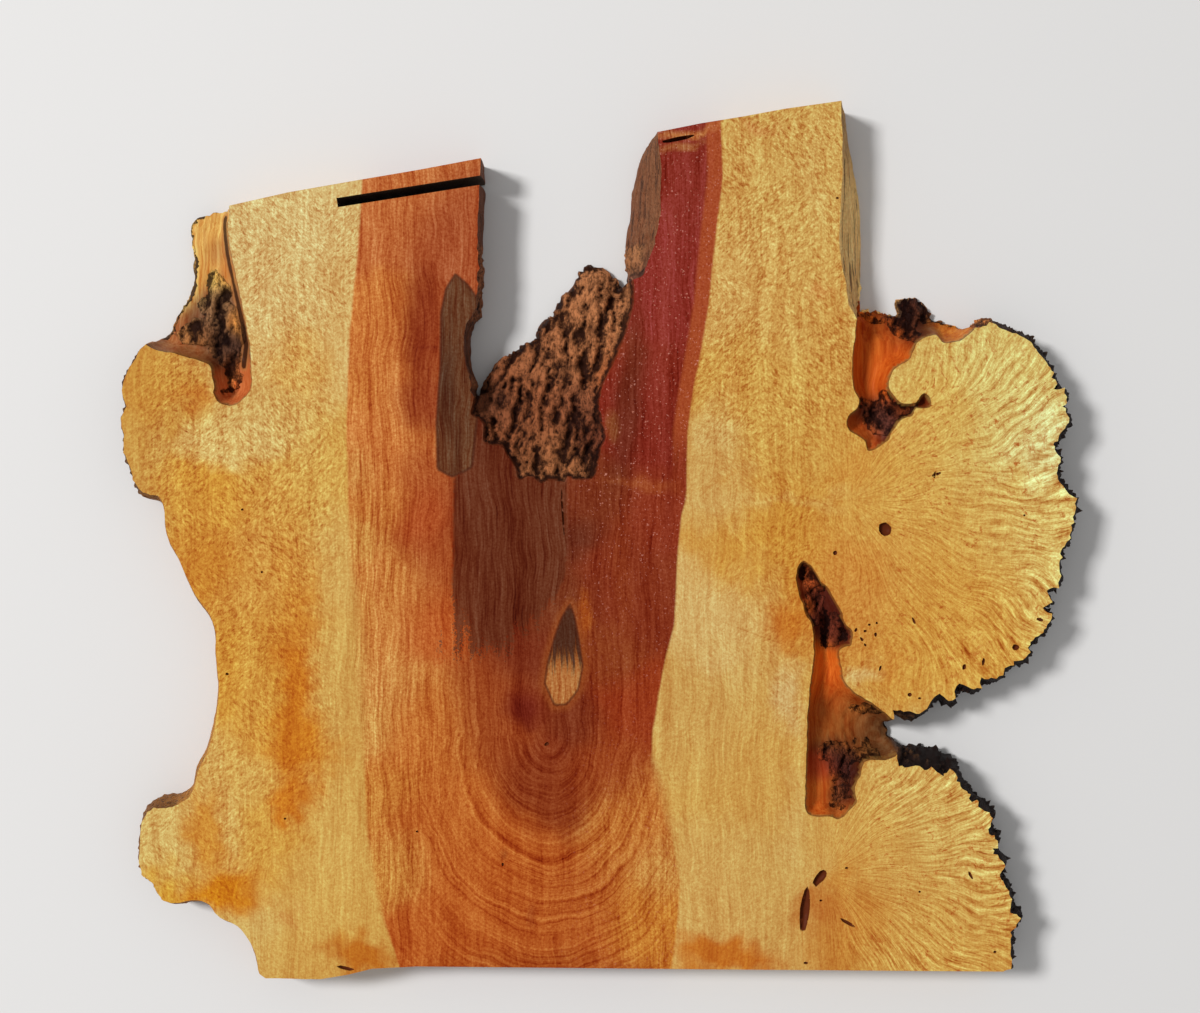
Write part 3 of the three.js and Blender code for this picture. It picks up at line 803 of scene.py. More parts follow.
SAP_SPOTS = [
    (-326, -303, 28, 17, 0, 0.9, (199, 120, 20)), (-342, -255, 20, 30, 0, 0.7, (199, 126, 28)),
    (-270, -226, 14, 12, 0, 0.8, (199, 114, 24)), (-215, -352, 20, 14, 0, 0.5, (204, 140, 50)),
    (-266, -30, 22, 70, 0, 0.5, (201, 132, 42)), (-262, -155, 19, 84, 0, 0.85, (194, 112, 26)),
    (-283, 40, 18, 50, 0, 0.3, (204, 148, 64)), (-342, -25, 30, 34, 0, 0.55, (194, 122, 32)),
    (-348, 60, 42, 30, 20, 0.45, (198, 132, 38)), (-390, 120, 22, 18, 0, 0.3, (200, 140, 52)),
    (-302, -125, 15, 60, 0, 0.35, (207, 158, 76)), (-336, -192, 10, 30, 0, 0.4, (208, 172, 100)),
    # The pale spot at (164, -137) is a painted highlight of glare on the face.
    (164, -137, 17, 34, -4, 0.5, (214, 190, 134)), (150, -60, 20, 40, 5, 0.35, (211, 178, 108)),
    (160, 50, 80, 4.5, 2, 0.5, (200, 142, 60)), (150, 34, 80, 7, 2, 0.35, (212, 180, 108)),
    (166, -70, 22, 26, 10, 0.7, (195, 112, 32)), (222, 62, 20, 22, 0, 0.45, (201, 136, 56)),
    (108, -362, 44, 18, 0, 0.95, (192, 110, 34)), (-204, -362, 34, 15, 0, 0.9, (184, 104, 28)),
    (250, -111, 12, 12, 0, 0.5, (198, 124, 46)), (224, -120, 18, 12, 30, 0.5, (214, 186, 122)),
    (200, 160, 22, 50, 0, 0.35, (203, 148, 66)), (150, 200, 8, 120, 0, 0.25, (201, 146, 70)),
    (120, 320, 10, 50, 0, 0.25, (201, 140, 74)), (-266, -320, 10, 12, 0, 0.35, (190, 104, 52)),
    (186, 320, 12, 50, 0, 0.25, (210, 172, 104)), (165, -240, 12, 50, 0, 0.3, (212, 180, 112)),
    (205, -300, 16, 22, 0, 0.35, (199, 132, 48)), (-250, 250, 20, 60, 0, 0.15, (216, 194, 134)),
    (280, 155, 26, 20, 20, 0.3, (206, 160, 76)), (190, -320, 24, 20, -15, 0.65, (180, 100, 36)),
    (135, 350, 22, 7, 8, 0.45, (196, 116, 64)), (190, 207, 16, 5, 0, 0.4, (198, 116, 58)),
    (116, 130, 7, 26, 8, 0.4, (200, 138, 66)), (120, 62, 34, 5, -4, 0.35, (196, 140, 64)),
    (235, -12, 22, 26, 0, 0.5, (196, 124, 48)), (262, 90, 26, 12, 20, 0.3, (194, 122, 58)),
    (-300, 225, 16, 30, -30, 0.3, (206, 160, 92)), (-262, 142, 28, 36, 0, 0.6, (203, 150, 68)),
    (-318, 80, 56, 18, 0, 0.6, (210, 180, 110)), (-344, 122, 26, 14, 0, 0.7, (191, 118, 40)),
    (-225, 215, 14, 60, 0, 0.25, (210, 172, 104)),
]
HEART = [
    (-180, 300, 26, (194, 114, 60)), (-155, 190, 14, (152, 68, 31)),
    (-180, 190, 14, (204, 126, 60)), (-182, 80, 22, (202, 124, 60)), (-150, 60, 14, (168, 82, 38)),
    (-182, -60, 22, (205, 138, 68)), (-135, -20, 16, (170, 82, 36)), (-130, 270, 20, (166, 84, 46)),
    (-150, -165, 22, (200, 122, 54)), (-180, -130, 16, (206, 144, 74)),
    (-100, -300, 34, (187, 98, 38)), (-40, -215, 20, (140, 62, 28)), (-90, -150, 22, (158, 76, 34)),
    (-40, -340, 34, (184, 98, 40)), (-150, -250, 26, (193, 110, 46)),
    (30, -250, 22, (196, 122, 54)), (50, -330, 20, (201, 130, 50)), (-80, 0, 30, (120, 56, 30)),
    (-65, -40, 18, (124, 60, 32)), (-60, -110, 16, (122, 50, 26)), (15, -15, 16, (134, 54, 28)),
    (-15, 5, 10, (98, 42, 24)), (-25, -160, 14, (124, 52, 26)), (58, -285, 14, (210, 160, 84)),
    (0, 35, 14, (124, 54, 28)), (40, -60, 18, (132, 52, 26)), (35, -150, 18, (152, 60, 26)),
    (50, 20, 16, (140, 54, 30)), (50, 100, 18, (132, 44, 30)), (70, 230, 20, (140, 50, 41)),
    (80, 320, 22, (142, 54, 44)), (0, -200, 18, (160, 76, 34)), (10, -100, 14, (138, 62, 28)),
    (-207, 120, 9, (198, 120, 54)), (-208, 60, 9, (201, 140, 70)), (-206, 0, 9, (203, 146, 72)),
    (-204, -60, 10, (202, 140, 66)), (-198, -160, 12, (205, 150, 76)),
    (-196, -230, 12, (203, 141, 63)), (-190, -290, 12, (202, 140, 62)),
    (-176, -215, 12, (202, 133, 58)), (-176, -280, 14, (207, 150, 72)),
    (-152, 110, 12, (146, 62, 30)), (-150, 20, 14, (172, 78, 34)), (-150, -70, 16, (183, 85, 34)),
    (-190, 30, 12, (198, 127, 58)),
]
HEART_SPOTS = [
    (-98, 84, 10, 26, 0, 0.8, (90, 38, 25)), (-11, -64, 6, 17, 4, 0.85, (171, 90, 34)),
    (-64, -150, 20, 18, 0, 0.75, (118, 36, 19)), (40, 47, 36, 5, -3, 0.45, (178, 98, 52)),
    (11, 98, 6, 13, 0, 0.7, (150, 92, 52)), (25, 112, 14, 70, -6, 0.5, (98, 52, 34)),
    (-112, 72, 4, 24, 4, 0.6, (150, 70, 36)), (-45, -185, 26, 18, 0, 0.35, (128, 46, 22)),
    (-148, 163, 10, 2, 0, 0.6, (120, 40, 20)), (-30, 10, 5, 44, 4, 0.35, (88, 40, 24)),
    (-59, -324, 4, 9, 0, 0.5, (150, 62, 26)), (-83, -278, 3, 5, 0, 0.5, (130, 60, 26)),
    (20, -30, 8, 60, 4, 0.3, (158, 78, 36)), (-120, 240, 6, 60, 0, 0.3, (178, 100, 58)),
    (55, 170, 5, 120, -4, 0.3, (152, 62, 46)), (0, -300, 40, 30, 0, 0.3, (176, 96, 40)),
    (-152, 184, 15, 46, 0, 0.65, (136, 52, 22)), (-63, -152, 13, 13, 0, 0.6, (104, 28, 16)),
    (88, 352, 40, 4, 9, 0.9, (196, 132, 78)), (70, 338, 20, 3.5, 9, 0.85, (172, 112, 70)),
    (40, 300, 8, 44, -6, 0.6, (104, 54, 32)), (30, 160, 10, 60, -6, 0.4, (112, 50, 28)),
    (-136, 0, 5, 60, 0, 0.3, (150, 66, 28)), (-55, -376, 130, 18, 0, 0.5, (160, 78, 28)),
    (0, -60, 6, 30, 0, 0.3, (120, 52, 26)), (62, 60, 5, 90, -3, 0.35, (116, 36, 24)),
    (-175, 100, 6, 120, 0, 0.3, (206, 122, 60)), (-190, 0, 5, 140, 0, 0.35, (206, 132, 70)),
    (-165, -60, 4, 110, 0, 0.3, (180, 88, 34)),
]
FOLDS = [
    (-345, 172, 10, (94, 54, 32)), (-352, 250, 18, (206, 160, 84)), (-334, 250, 6, (164, 104, 56)),
    (-322, 235, 7, (186, 112, 50)), (-334, 200, 11, (116, 76, 52)), (-312, 190, 6, (180, 110, 52)),
    (-326, 168, 10, (58, 34, 26)), (-318, 128, 12, (186, 98, 50)), (-376, 172, 9, (156, 96, 54)),
    (-352, 162, 8, (160, 96, 52)), (232, 165, 16, (192, 82, 21)), (240, 140, 12, (184, 76, 20)),
    (268, 190, 10, (72, 32, 20)), (256, 178, 8, (176, 76, 24)), (284, 201, 14, (60, 28, 20)),
    (244, 106, 10, (72, 36, 30)), (270, 114, 8, (110, 46, 20)), (228, 92, 7, (190, 84, 28)),
    (312, 182, 12, (196, 112, 40)), (180, -32, 7, (140, 58, 26)), (190, -60, 8, (80, 30, 20)),
    (204, -80, 8, (84, 32, 20)), (186, -118, 12, (218, 104, 26)), (200, -125, 12, (190, 84, 26)),
    (180, -60, 4, (170, 74, 24)), (194, -30, 4, (170, 74, 24)), (192, -152, 10, (172, 80, 26)),
    (214, -158, 14, (162, 86, 34)), (242, -165, 12, (114, 70, 38)), (208, -190, 9, (56, 22, 20)),
    (187, -225, 10, (204, 100, 34)), (210, -226, 7, (72, 34, 24)), (190, -200, 7, (170, 64, 30)),
    (214, -244, 8, (190, 96, 36)), (-60, 110, 26, (118, 62, 38)), (-20, 170, 24, (146, 86, 54)),
    (-80, 90, 20, (108, 56, 34)), (-40, 65, 20, (134, 78, 48)), (-45, 165, 20, (118, 66, 42)),
    (-20, 118, 14, (104, 54, 36)), (0, 215, 20, (140, 84, 54)), (-10, 85, 12, (76, 32, 22)),
    (14, 140, 12, (134, 64, 34)), (-95, 118, 12, (60, 32, 24)),
]
WALLS = [
    (0, 0, 30, (70, 40, 24)), (-400, 110, 40, (150, 92, 38)), (-350, -50, 60, (176, 116, 46)),
    (-345, -160, 40, (178, 118, 48)), (-400, -270, 30, (158, 98, 40)),
    (-300, -370, 40, (168, 108, 50)), (-340, 240, 34, (186, 132, 68)),
    (-108, 240, 50, (112, 62, 38)), (-40, 190, 34, (78, 44, 30)), (40, 290, 34, (122, 72, 44)),
    # The right wane's (255, 206, 128) at (222, 290) is lifted above the wood's own colour as painted
    # light, for a wall that faces away from the lamp.
    (44, 225, 10, (98, 54, 36)), (222, 290, 60, (255, 206, 128)), (214, 350, 20, (120, 66, 34)),
    # The near-black browns on the burls' walls, at (400, 60), (330, -130) and (350, -290), are partly
    # the bark's own dark brown and partly painted shade.
    (290, 200, 34, (150, 66, 22)), (400, 60, 60, (66, 42, 27)), (330, -130, 34, (62, 38, 25)),
    (252, -166, 12, (118, 74, 44)), (350, -290, 60, (64, 40, 26)),
]
# Lines on the drawing where one kind of wood stops against another.
HEARTWOOD = [
    (-204, 420), (-204, 312), (-209, 240), (-215, 180), (-218, 85), (-215, -7), (-209, -57),
    (-205, -100), (-203, -192), (-201, -251), (-195, -285), (-187, -325), (-172, -372),
    (-166, -420), (60, -420), (62, -374), (68, -326), (70, -297), (63, -254), (54, -217),
    (46, -191), (46, -168), (51, -135), (57, -108), (65, -74), (67, -25), (71, 19), (75, 32),
    (76, 45), (77, 92), (82, 127), (88, 160), (95, 203), (101, 265), (107, 312), (106, 345),
    (104, 420),
]
STAIN = [
    (-106, 105), (-100, 98), (-92, 110), (-70, 90), (-40, 70), (-28, 60), (-28, 0), (-30, -34),
    (-44, -60), (-58, -90), (-75, -108), (-105, -112), (-124, -100), (-127, -50), (-127, 0),
    (-126, 52), (-113, 62),
]
WEATHERED = [
    (-124, 228), (-113, 219), (-100, 200), (-98, 165), (-98, 130), (-104, 114), (-106, 96),
    (-110, 62), (-126, 53), (-139, 60), (-140, 100), (-137, 150), (-136, 195), (-132, 215),
]
LEAF_KNOT = [
    (-25, -57), (-21, -68), (-17, -88), (-14, -110), (-18, -130), (-28, -143), (-38, -144),
    (-47, -125), (-44, -105), (-38, -85), (-32, -68),
]


def inside_by(points, polygon):
    """Distance to a closed line in millimetres, positive inside it."""
    corners = np.array(polygon, float)
    closed = np.vstack([corners, corners[:1]])
    within = np.zeros(len(points), bool)
    for (ax, ay), (bx, by) in zip(closed[:-1], closed[1:]):
        spans = (ay > points[:, 1]) != (by > points[:, 1])
        reach = (bx - ax) * (points[:, 1] - ay) / ((by - ay) or 1e-9) + ax
        within ^= spans & (points[:, 0] < reach)
    return np.where(within, 1, -1) * distance_to(points, closed)


flat = np.array(points)[:, :2] / MM + MIDDLE
count = len(points)
fold = np.zeros(count)
bark = np.zeros(count)
relief = np.full(count, 0.5)
relief[:sheet_start] = wall_relief
bark[:sheet_start] = np.max(shares[:, :2], axis=1)
for v, number in sheet_number.items():
    fold[number] = sheet_fold[v]
    if number >= sheet_start:
        bark[number] = sheet_bark[v]
        relief[number] = sheet_relief[v]
strays = np.array([noise.noise_vector(Vector((x, y, 0)) * 0.022) * 13
                   + noise.noise_vector(Vector((x, y, 50)) * 0.09) * 8 for x, y in flat])
ragged = flat + strays[:, :2] * (1.0, 1.6)
tones = {"sap_tone": tone_field(ragged, SAP, SAP_SPOTS),
         "heart_tone": tone_field(flat + strays[:, :2] * (0.25, 0.7), HEART, HEART_SPOTS),
         "fold_tone": tone_field(flat, FOLDS), "wall_tone": tone_field(flat, WALLS)}
for name, values in tones.items():
    add_attribute(skin, name, "FLOAT_COLOR", np.column_stack([values, np.ones(count)]))
for name, polygon in (("heartwood", HEARTWOOD), ("stain", STAIN), ("weathered", WEATHERED),
                      ("leaf_knot", LEAF_KNOT)):
    add_attribute(skin, name, "FLOAT", inside_by(flat, polygon))
# How much of the burls' figure shows, and how far the two colours run into each other.
upper_burl = np.hypot((flat[:, 0] - 330) / 130, (flat[:, 1] - 20) / 165)
lower_burl = np.hypot((flat[:, 0] - 290) / 105, (flat[:, 1] + 290) / 110)
burl = np.clip((1.15 - np.minimum(upper_burl, lower_burl)) / 0.4, 0, 1)
add_attribute(skin, "burl", "FLOAT", burl)
# (x, y, half width, half height, blur) on the drawing.
BLURRED = [(-205, -105, 60, 90, 10), (58, -222, 40, 34, 9), (-198, -290, 30, 60, 3)]
softness = np.full(count, 1.3)
for x, y, half_width, half_height, width in BLURRED:
    far = np.hypot((flat[:, 0] - x) / half_width, (flat[:, 1] - y) / half_height)
    softness += width * np.clip(1.2 - far, 0, 1)
add_attribute(skin, "softness", "FLOAT", softness)
dappled = ellipse_share(flat, [
    (150, 245, 75, 150, 1.0), (-310, 60, 70, 150, 1.0), (-270, 235, 75, 60, 0.8),
    (-300, -150, 55, 110, 0.75), (-370, -270, 60, 60, 0.6), (300, 20, 150, 190, 0.6)], soft=0.5)
add_attribute(skin, "dappled", "FLOAT", 0.3 + 0.7 * dappled)
rings = np.clip((-40 - flat[:, 1]) / 90, 0, 1) * np.clip(
    1.3 - np.abs(flat[:, 0] + 45) / 125, 0, 1)
add_attribute(skin, "rings", "FLOAT", rings)
SAW_CUT = np.array([(-226, 290), (-90, 311.4)], float)
add_attribute(skin, "saw_cut", "FLOAT", distance_to(flat, SAW_CUT))
LEFT_CRACK = [(-326, 279), (-322, 245), (-316, 215), (-309, 186), (-306, 168), (-309, 150)]
add_attribute(skin, "crack", "FLOAT", distance_to(flat, np.array(LEFT_CRACK, float)))
edge_tree = kdtree.KDTree(len(top_loop))
for k, i in enumerate(top_loop):
    edge_tree.insert((*flat[i], 0), k)
edge_tree.balance()
edge_gap = np.array([edge_tree.find((x, y, 0))[2] for x, y in flat])
add_attribute(skin, "rim_near", "FLOAT", np.clip(1 - edge_gap / 70, 0, 1))
add_attribute(skin, "fold", "FLOAT", fold)
add_attribute(skin, "bark", "FLOAT", bark)
add_attribute(skin, "relief", "FLOAT", relief)

# ---- Slab: its materials ----
# The planed face and the folds are oiled maple, the live edge is bark and pegs over wood, and
# the ends and the back are plain sawn. Shared figure comes from four shader groups.


def shader_group(name, inputs, outputs):
    """An empty shader node group with its sockets, and its input and output nodes."""
    tree = bpy.data.node_groups.new(name, "ShaderNodeTree")
    for label, kind in inputs:
        tree.interface.new_socket(name=label, in_out="INPUT", socket_type="NodeSocket" + kind)
    for label, kind in outputs:
        tree.interface.new_socket(name=label, in_out="OUTPUT", socket_type="NodeSocket" + kind)
    return tree, tree.nodes.new("NodeGroupInput").outputs, tree.nodes.new("NodeGroupOutput")


def mix(tree, factor, a, b):
    """Blends two colours."""
    node = wire(tree, "ShaderNodeMix", {}, {"data_type": "RGBA"})
    for number, value in ((0, factor), (6, a), (7, b)):
        if isinstance(value, bpy.types.NodeSocket):
            tree.links.new(value, node.inputs[number])
        else:
            node.inputs[number].default_value = value
    return node.outputs[2]


def attribute(tree, name, output="Fac"):
    """The value or colour that the mesh keeps under a name."""
    return wire(tree, "ShaderNodeAttribute", {}, {"attribute_name": name}).outputs[output]


def shade(tree, colour, value):
    """Darkens or lightens wood: blue goes fastest and red slowest, as a thicker stain would."""
    value = calc(tree, "MAXIMUM", value, 0.02)
    by_part = {part: calc(tree, "POWER", value, power)
               for part, power in enumerate((0.55, 1.3, 1.9))}
    return vector_calc(tree, "MULTIPLY", colour,
                       wire(tree, "ShaderNodeCombineXYZ", by_part).outputs[0])


def grain_group():
    """Grain along Y as fine pores and broad bands, short slanting strokes, a speckle, scratches, and
    scattered dots for painted highlights that sparkle.
    """
    tree, given, out = shader_group(
        "maple_grain", [("Place", "Vector")],
        [("Fine", "Float"), ("Broad", "Float"), ("Stroke", "Float"), ("Speckle", "Float"),
         ("PaintedGlint", "Float"), ("Scratch", "Float")])
    place = given["Place"]
    warp = noise_at(tree, place, 0.012, detail=2.0, seed=3.0)
    shift = wire(tree, "ShaderNodeCombineXYZ",
                 {0: calc(tree, "MULTIPLY", calc(tree, "SUBTRACT", warp, 0.5), 24.0)}).outputs[0]
    bent = vector_calc(tree, "ADD", place, shift)
    fine = vector_calc(tree, "MULTIPLY", bent, (1.0, 0.045, 1.0))
    broad = vector_calc(tree, "MULTIPLY", bent, (1.0, 0.11, 1.0))
    slants = []
    for angle, seed in ((0.75, 21.0), (-0.7, 22.0)):
        turned = wire(tree, "ShaderNodeVectorRotate", {"Vector": place, "Angle": angle},
                      {"rotation_type": "Z_AXIS"}).outputs[0]
        turned = vector_calc(tree, "MULTIPLY", turned, (1.0, 0.5, 1.0))
        slants.append(noise_at(tree, turned, 0.44, detail=2.0, roughness=0.8, distortion=0.4,
                               seed=seed))
    side = ramp(tree, noise_at(tree, place, 0.018, detail=2.0, seed=23.0), 0.44, 0.56)
    stroke = wire(tree, "ShaderNodeMix", {0: side, 2: slants[0], 3: slants[1]},
                  {"data_type": "FLOAT"}).outputs[0]
    painted_glint = ramp(tree, noise_at(tree, place, 0.62, detail=1.0, seed=25.0), 0.63, 0.72)
    raked = wire(tree, "ShaderNodeVectorRotate", {"Vector": place, "Angle": 0.35},
                 {"rotation_type": "Z_AXIS"}).outputs[0]
    raked = vector_calc(tree, "MULTIPLY", raked, (0.02, 1.0, 1.0))
    scratch = ramp(tree, noise_at(tree, raked, 0.5, detail=1.0, seed=26.0), 0.68, 0.8)
    tree.links.new(painted_glint, out.inputs["PaintedGlint"])
    tree.links.new(scratch, out.inputs["Scratch"])
    for name, value in (
            ("Fine", noise_at(tree, fine, 0.5, detail=3.0, roughness=0.7, seed=1.0)),
            ("Broad", noise_at(tree, broad, 0.08, detail=3.0, seed=2.0)), ("Stroke", stroke),
            ("Speckle", noise_at(tree, place, 0.5, detail=3.0, roughness=0.75, seed=4.0))):
        tree.links.new(value, out.inputs[name])
    return tree


def burl_group():
    """The figure of a burl: short curled flecks, and rays that run out from its middle."""
    tree, given, out = shader_group(
        "burl_figure", [("Place", "Vector"), ("Middle X", "Float"), ("Middle Y", "Float")],
        [("Fleck", "Float"), ("Ray", "Float")])
    place = given["Place"]
    parts = wire(tree, "ShaderNodeSeparateXYZ", {0: place}).outputs
    dx = calc(tree, "SUBTRACT", parts[0], given["Middle X"])
    dy = calc(tree, "SUBTRACT", parts[1], given["Middle Y"])
    far = calc(tree, "SQRT", calc(tree, "ADD", calc(tree, "MULTIPLY", dx, dx),
                                  calc(tree, "MULTIPLY", dy, dy)))
    wander = calc(tree, "MULTIPLY", calc(
        tree, "SUBTRACT", noise_at(tree, place, 0.013, detail=1.0, seed=6.0), 0.5), 0.42)
    angle = calc(tree, "ADD", calc(tree, "ARCTAN2", dy, dx), wander)
    polar = wire(tree, "ShaderNodeCombineXYZ", {
        0: calc(tree, "MULTIPLY", angle, 34.0), 1: calc(tree, "MULTIPLY", far, 0.034)}).outputs[0]
    rays = noise_at(tree, polar, 1.0, detail=4.0, roughness=0.75, distortion=0.15, seed=7.0)
    tree.links.new(rays, out.inputs["Ray"])
    curls = wire(tree, "ShaderNodeCombineXYZ", {
        0: calc(tree, "MULTIPLY", angle, 24.0), 1: calc(tree, "MULTIPLY", far, 0.16)}).outputs[0]
    fleck = noise_at(tree, curls, 1.0, detail=5.0, roughness=0.8, distortion=0.9, seed=8.0)
    tree.links.new(fleck, out.inputs["Fleck"])
    return tree


def ring_group():
    """Growth rings: arches that stand upright beside the pith and close below it, 0 to 1."""
    tree, given, out = shader_group("growth_rings", [("Place", "Vector")], [("Ring", "Float")])
    place = given["Place"]
    stray = wire(tree, "ShaderNodeTexNoise", {"Vector": place, "Scale": 0.02, "Detail": 3.0,
                                              "W": 9.0}, {"noise_dimensions": "4D"}).outputs[1]
    stray = wire(tree, "ShaderNodeVectorMath",
                 {0: vector_calc(tree, "SUBTRACT", stray, (0.5, 0.5, 0.5)), "Scale": 22.0},
                 {"operation": "SCALE"}).outputs[0]
    parts = wire(tree, "ShaderNodeSeparateXYZ",
                 {0: vector_calc(tree, "ADD", place, stray)}).outputs
    across = calc(tree, "ADD", parts[0], 45.0)
    below = calc(tree, "MULTIPLY", calc(tree, "MINIMUM", calc(tree, "ADD", parts[1], 172.0), 0.0),
                 0.72)
    far = calc(tree, "SQRT", calc(tree, "ADD", calc(tree, "MULTIPLY", across, across),
                                  calc(tree, "MULTIPLY", below, below)))
    line = wire(tree, "ShaderNodeCombineXYZ", {0: far, 1: calc(
        tree, "MULTIPLY", calc(tree, "ARCTAN2", below, across), 0.8)}).outputs[0]
    coarse = noise_at(tree, line, 0.11, detail=2.0, roughness=0.6, seed=31.0)
    close = noise_at(tree, line, 0.42, detail=2.0, roughness=0.7, seed=32.0)
    tree.links.new(calc(tree, "MULTIPLY_ADD", coarse, 0.3, calc(tree, "MULTIPLY", close, 0.7)),
                   out.inputs["Ring"])
    return tree


def bark_group():
    """Bark: near black in its furrows and grey tan on its ridges, with crumbs of both; set by height,
    this is partly the bark's own colour and partly painted shade and painted light.
    """
    tree, given, out = shader_group(
        "bark_look_and_shade", [("Place", "Vector"), ("Relief", "Float"), ("Tone", "Color")],
        [("Colour", "Color"), ("Height", "Float")])
    lean = vector_calc(tree, "MULTIPLY", given["Place"], (1.0, 0.36, 1.0))
    crumb = noise_at(tree, lean, 0.3, detail=5.0, roughness=0.75, distortion=0.6, seed=11.0)
    fibre = noise_at(tree, lean, 0.62, detail=3.0, roughness=0.7, distortion=1.4, seed=12.0)
    level = calc(tree, "ADD", calc(tree, "MULTIPLY", given["Relief"], 0.55), calc(
        tree, "ADD", calc(tree, "MULTIPLY", crumb, 0.85), calc(tree, "MULTIPLY", fibre, 0.7)))
    # The colour follows the relief: pale on the ridges and near black in the furrows and creases,
    # partly the bark's own browns and partly painted light and painted shade.
    light = ramp(tree, level, 0.95, 1.4)
    dark = mix(tree, 0.9, given["Tone"], (*srgb(24, 9, 7), 1))
    pale = vector_calc(tree, "MULTIPLY", given["Tone"], (2.05, 2.35, 2.2))
    crease = noise_at(tree, lean, 0.26, detail=3.0, roughness=0.65, distortion=0.8, seed=13.0)
    crease = ramp(tree, calc(tree, "ABSOLUTE", calc(tree, "SUBTRACT", crease, 0.5)), 0.03, 0.0)
    light = calc(tree, "MULTIPLY", light, calc(tree, "MULTIPLY_ADD", crease, -0.75, 1.0))
    tree.links.new(mix(tree, light, dark, pale), out.inputs["Colour"])
    tree.links.new(calc(tree, "MULTIPLY_ADD", crease, -0.4, level), out.inputs["Height"])
    return tree


maple_grain, burl_figure = grain_group(), burl_group()
growth_rings, bark_look_and_shade = ring_group(), bark_group()


def use(tree, group, values):
    """Places a shader group and gives its inputs their values."""
    node = tree.nodes.new("ShaderNodeGroup")
    node.node_tree = group
    for key, value in values.items():
        if isinstance(value, bpy.types.NodeSocket):
            tree.links.new(value, node.inputs[key])
        else:
            node.inputs[key].default_value = value
    return node.outputs


def new_material(name):
    """A material's node tree, its surface node, and its place in millimetres on the drawing."""
    material = bpy.data.materials.get(name) or bpy.data.materials.new(name)
    material.use_nodes = True
    tree = material.node_tree
    surface_node = tree.nodes["Principled BSDF"]
    objects = tree.nodes.new("ShaderNodeTexCoord").outputs["Object"]
    place = wire(tree, "ShaderNodeVectorMath", {0: objects, "Scale": 1000.0},
                 {"operation": "SCALE"}).outputs[0]
    place = vector_calc(tree, "ADD", place, (*MIDDLE, 0.0))
    return material, tree, surface_node, place


def finish_with(tree, surface_node, colour, roughness, height, distance):
    """Wires colour, roughness and a bump to the surface."""
    bump = wire(tree, "ShaderNodeBump", {"Height": height, "Distance": distance, "Strength": 1.0})
    tree.links.new(colour, surface_node.inputs["Base Color"])
    tree.links.new(bump.outputs[0], surface_node.inputs["Normal"])
    if isinstance(roughness, bpy.types.NodeSocket):
        tree.links.new(roughness, surface_node.inputs["Roughness"])
    else:
        surface_node.inputs["Roughness"].default_value = roughness


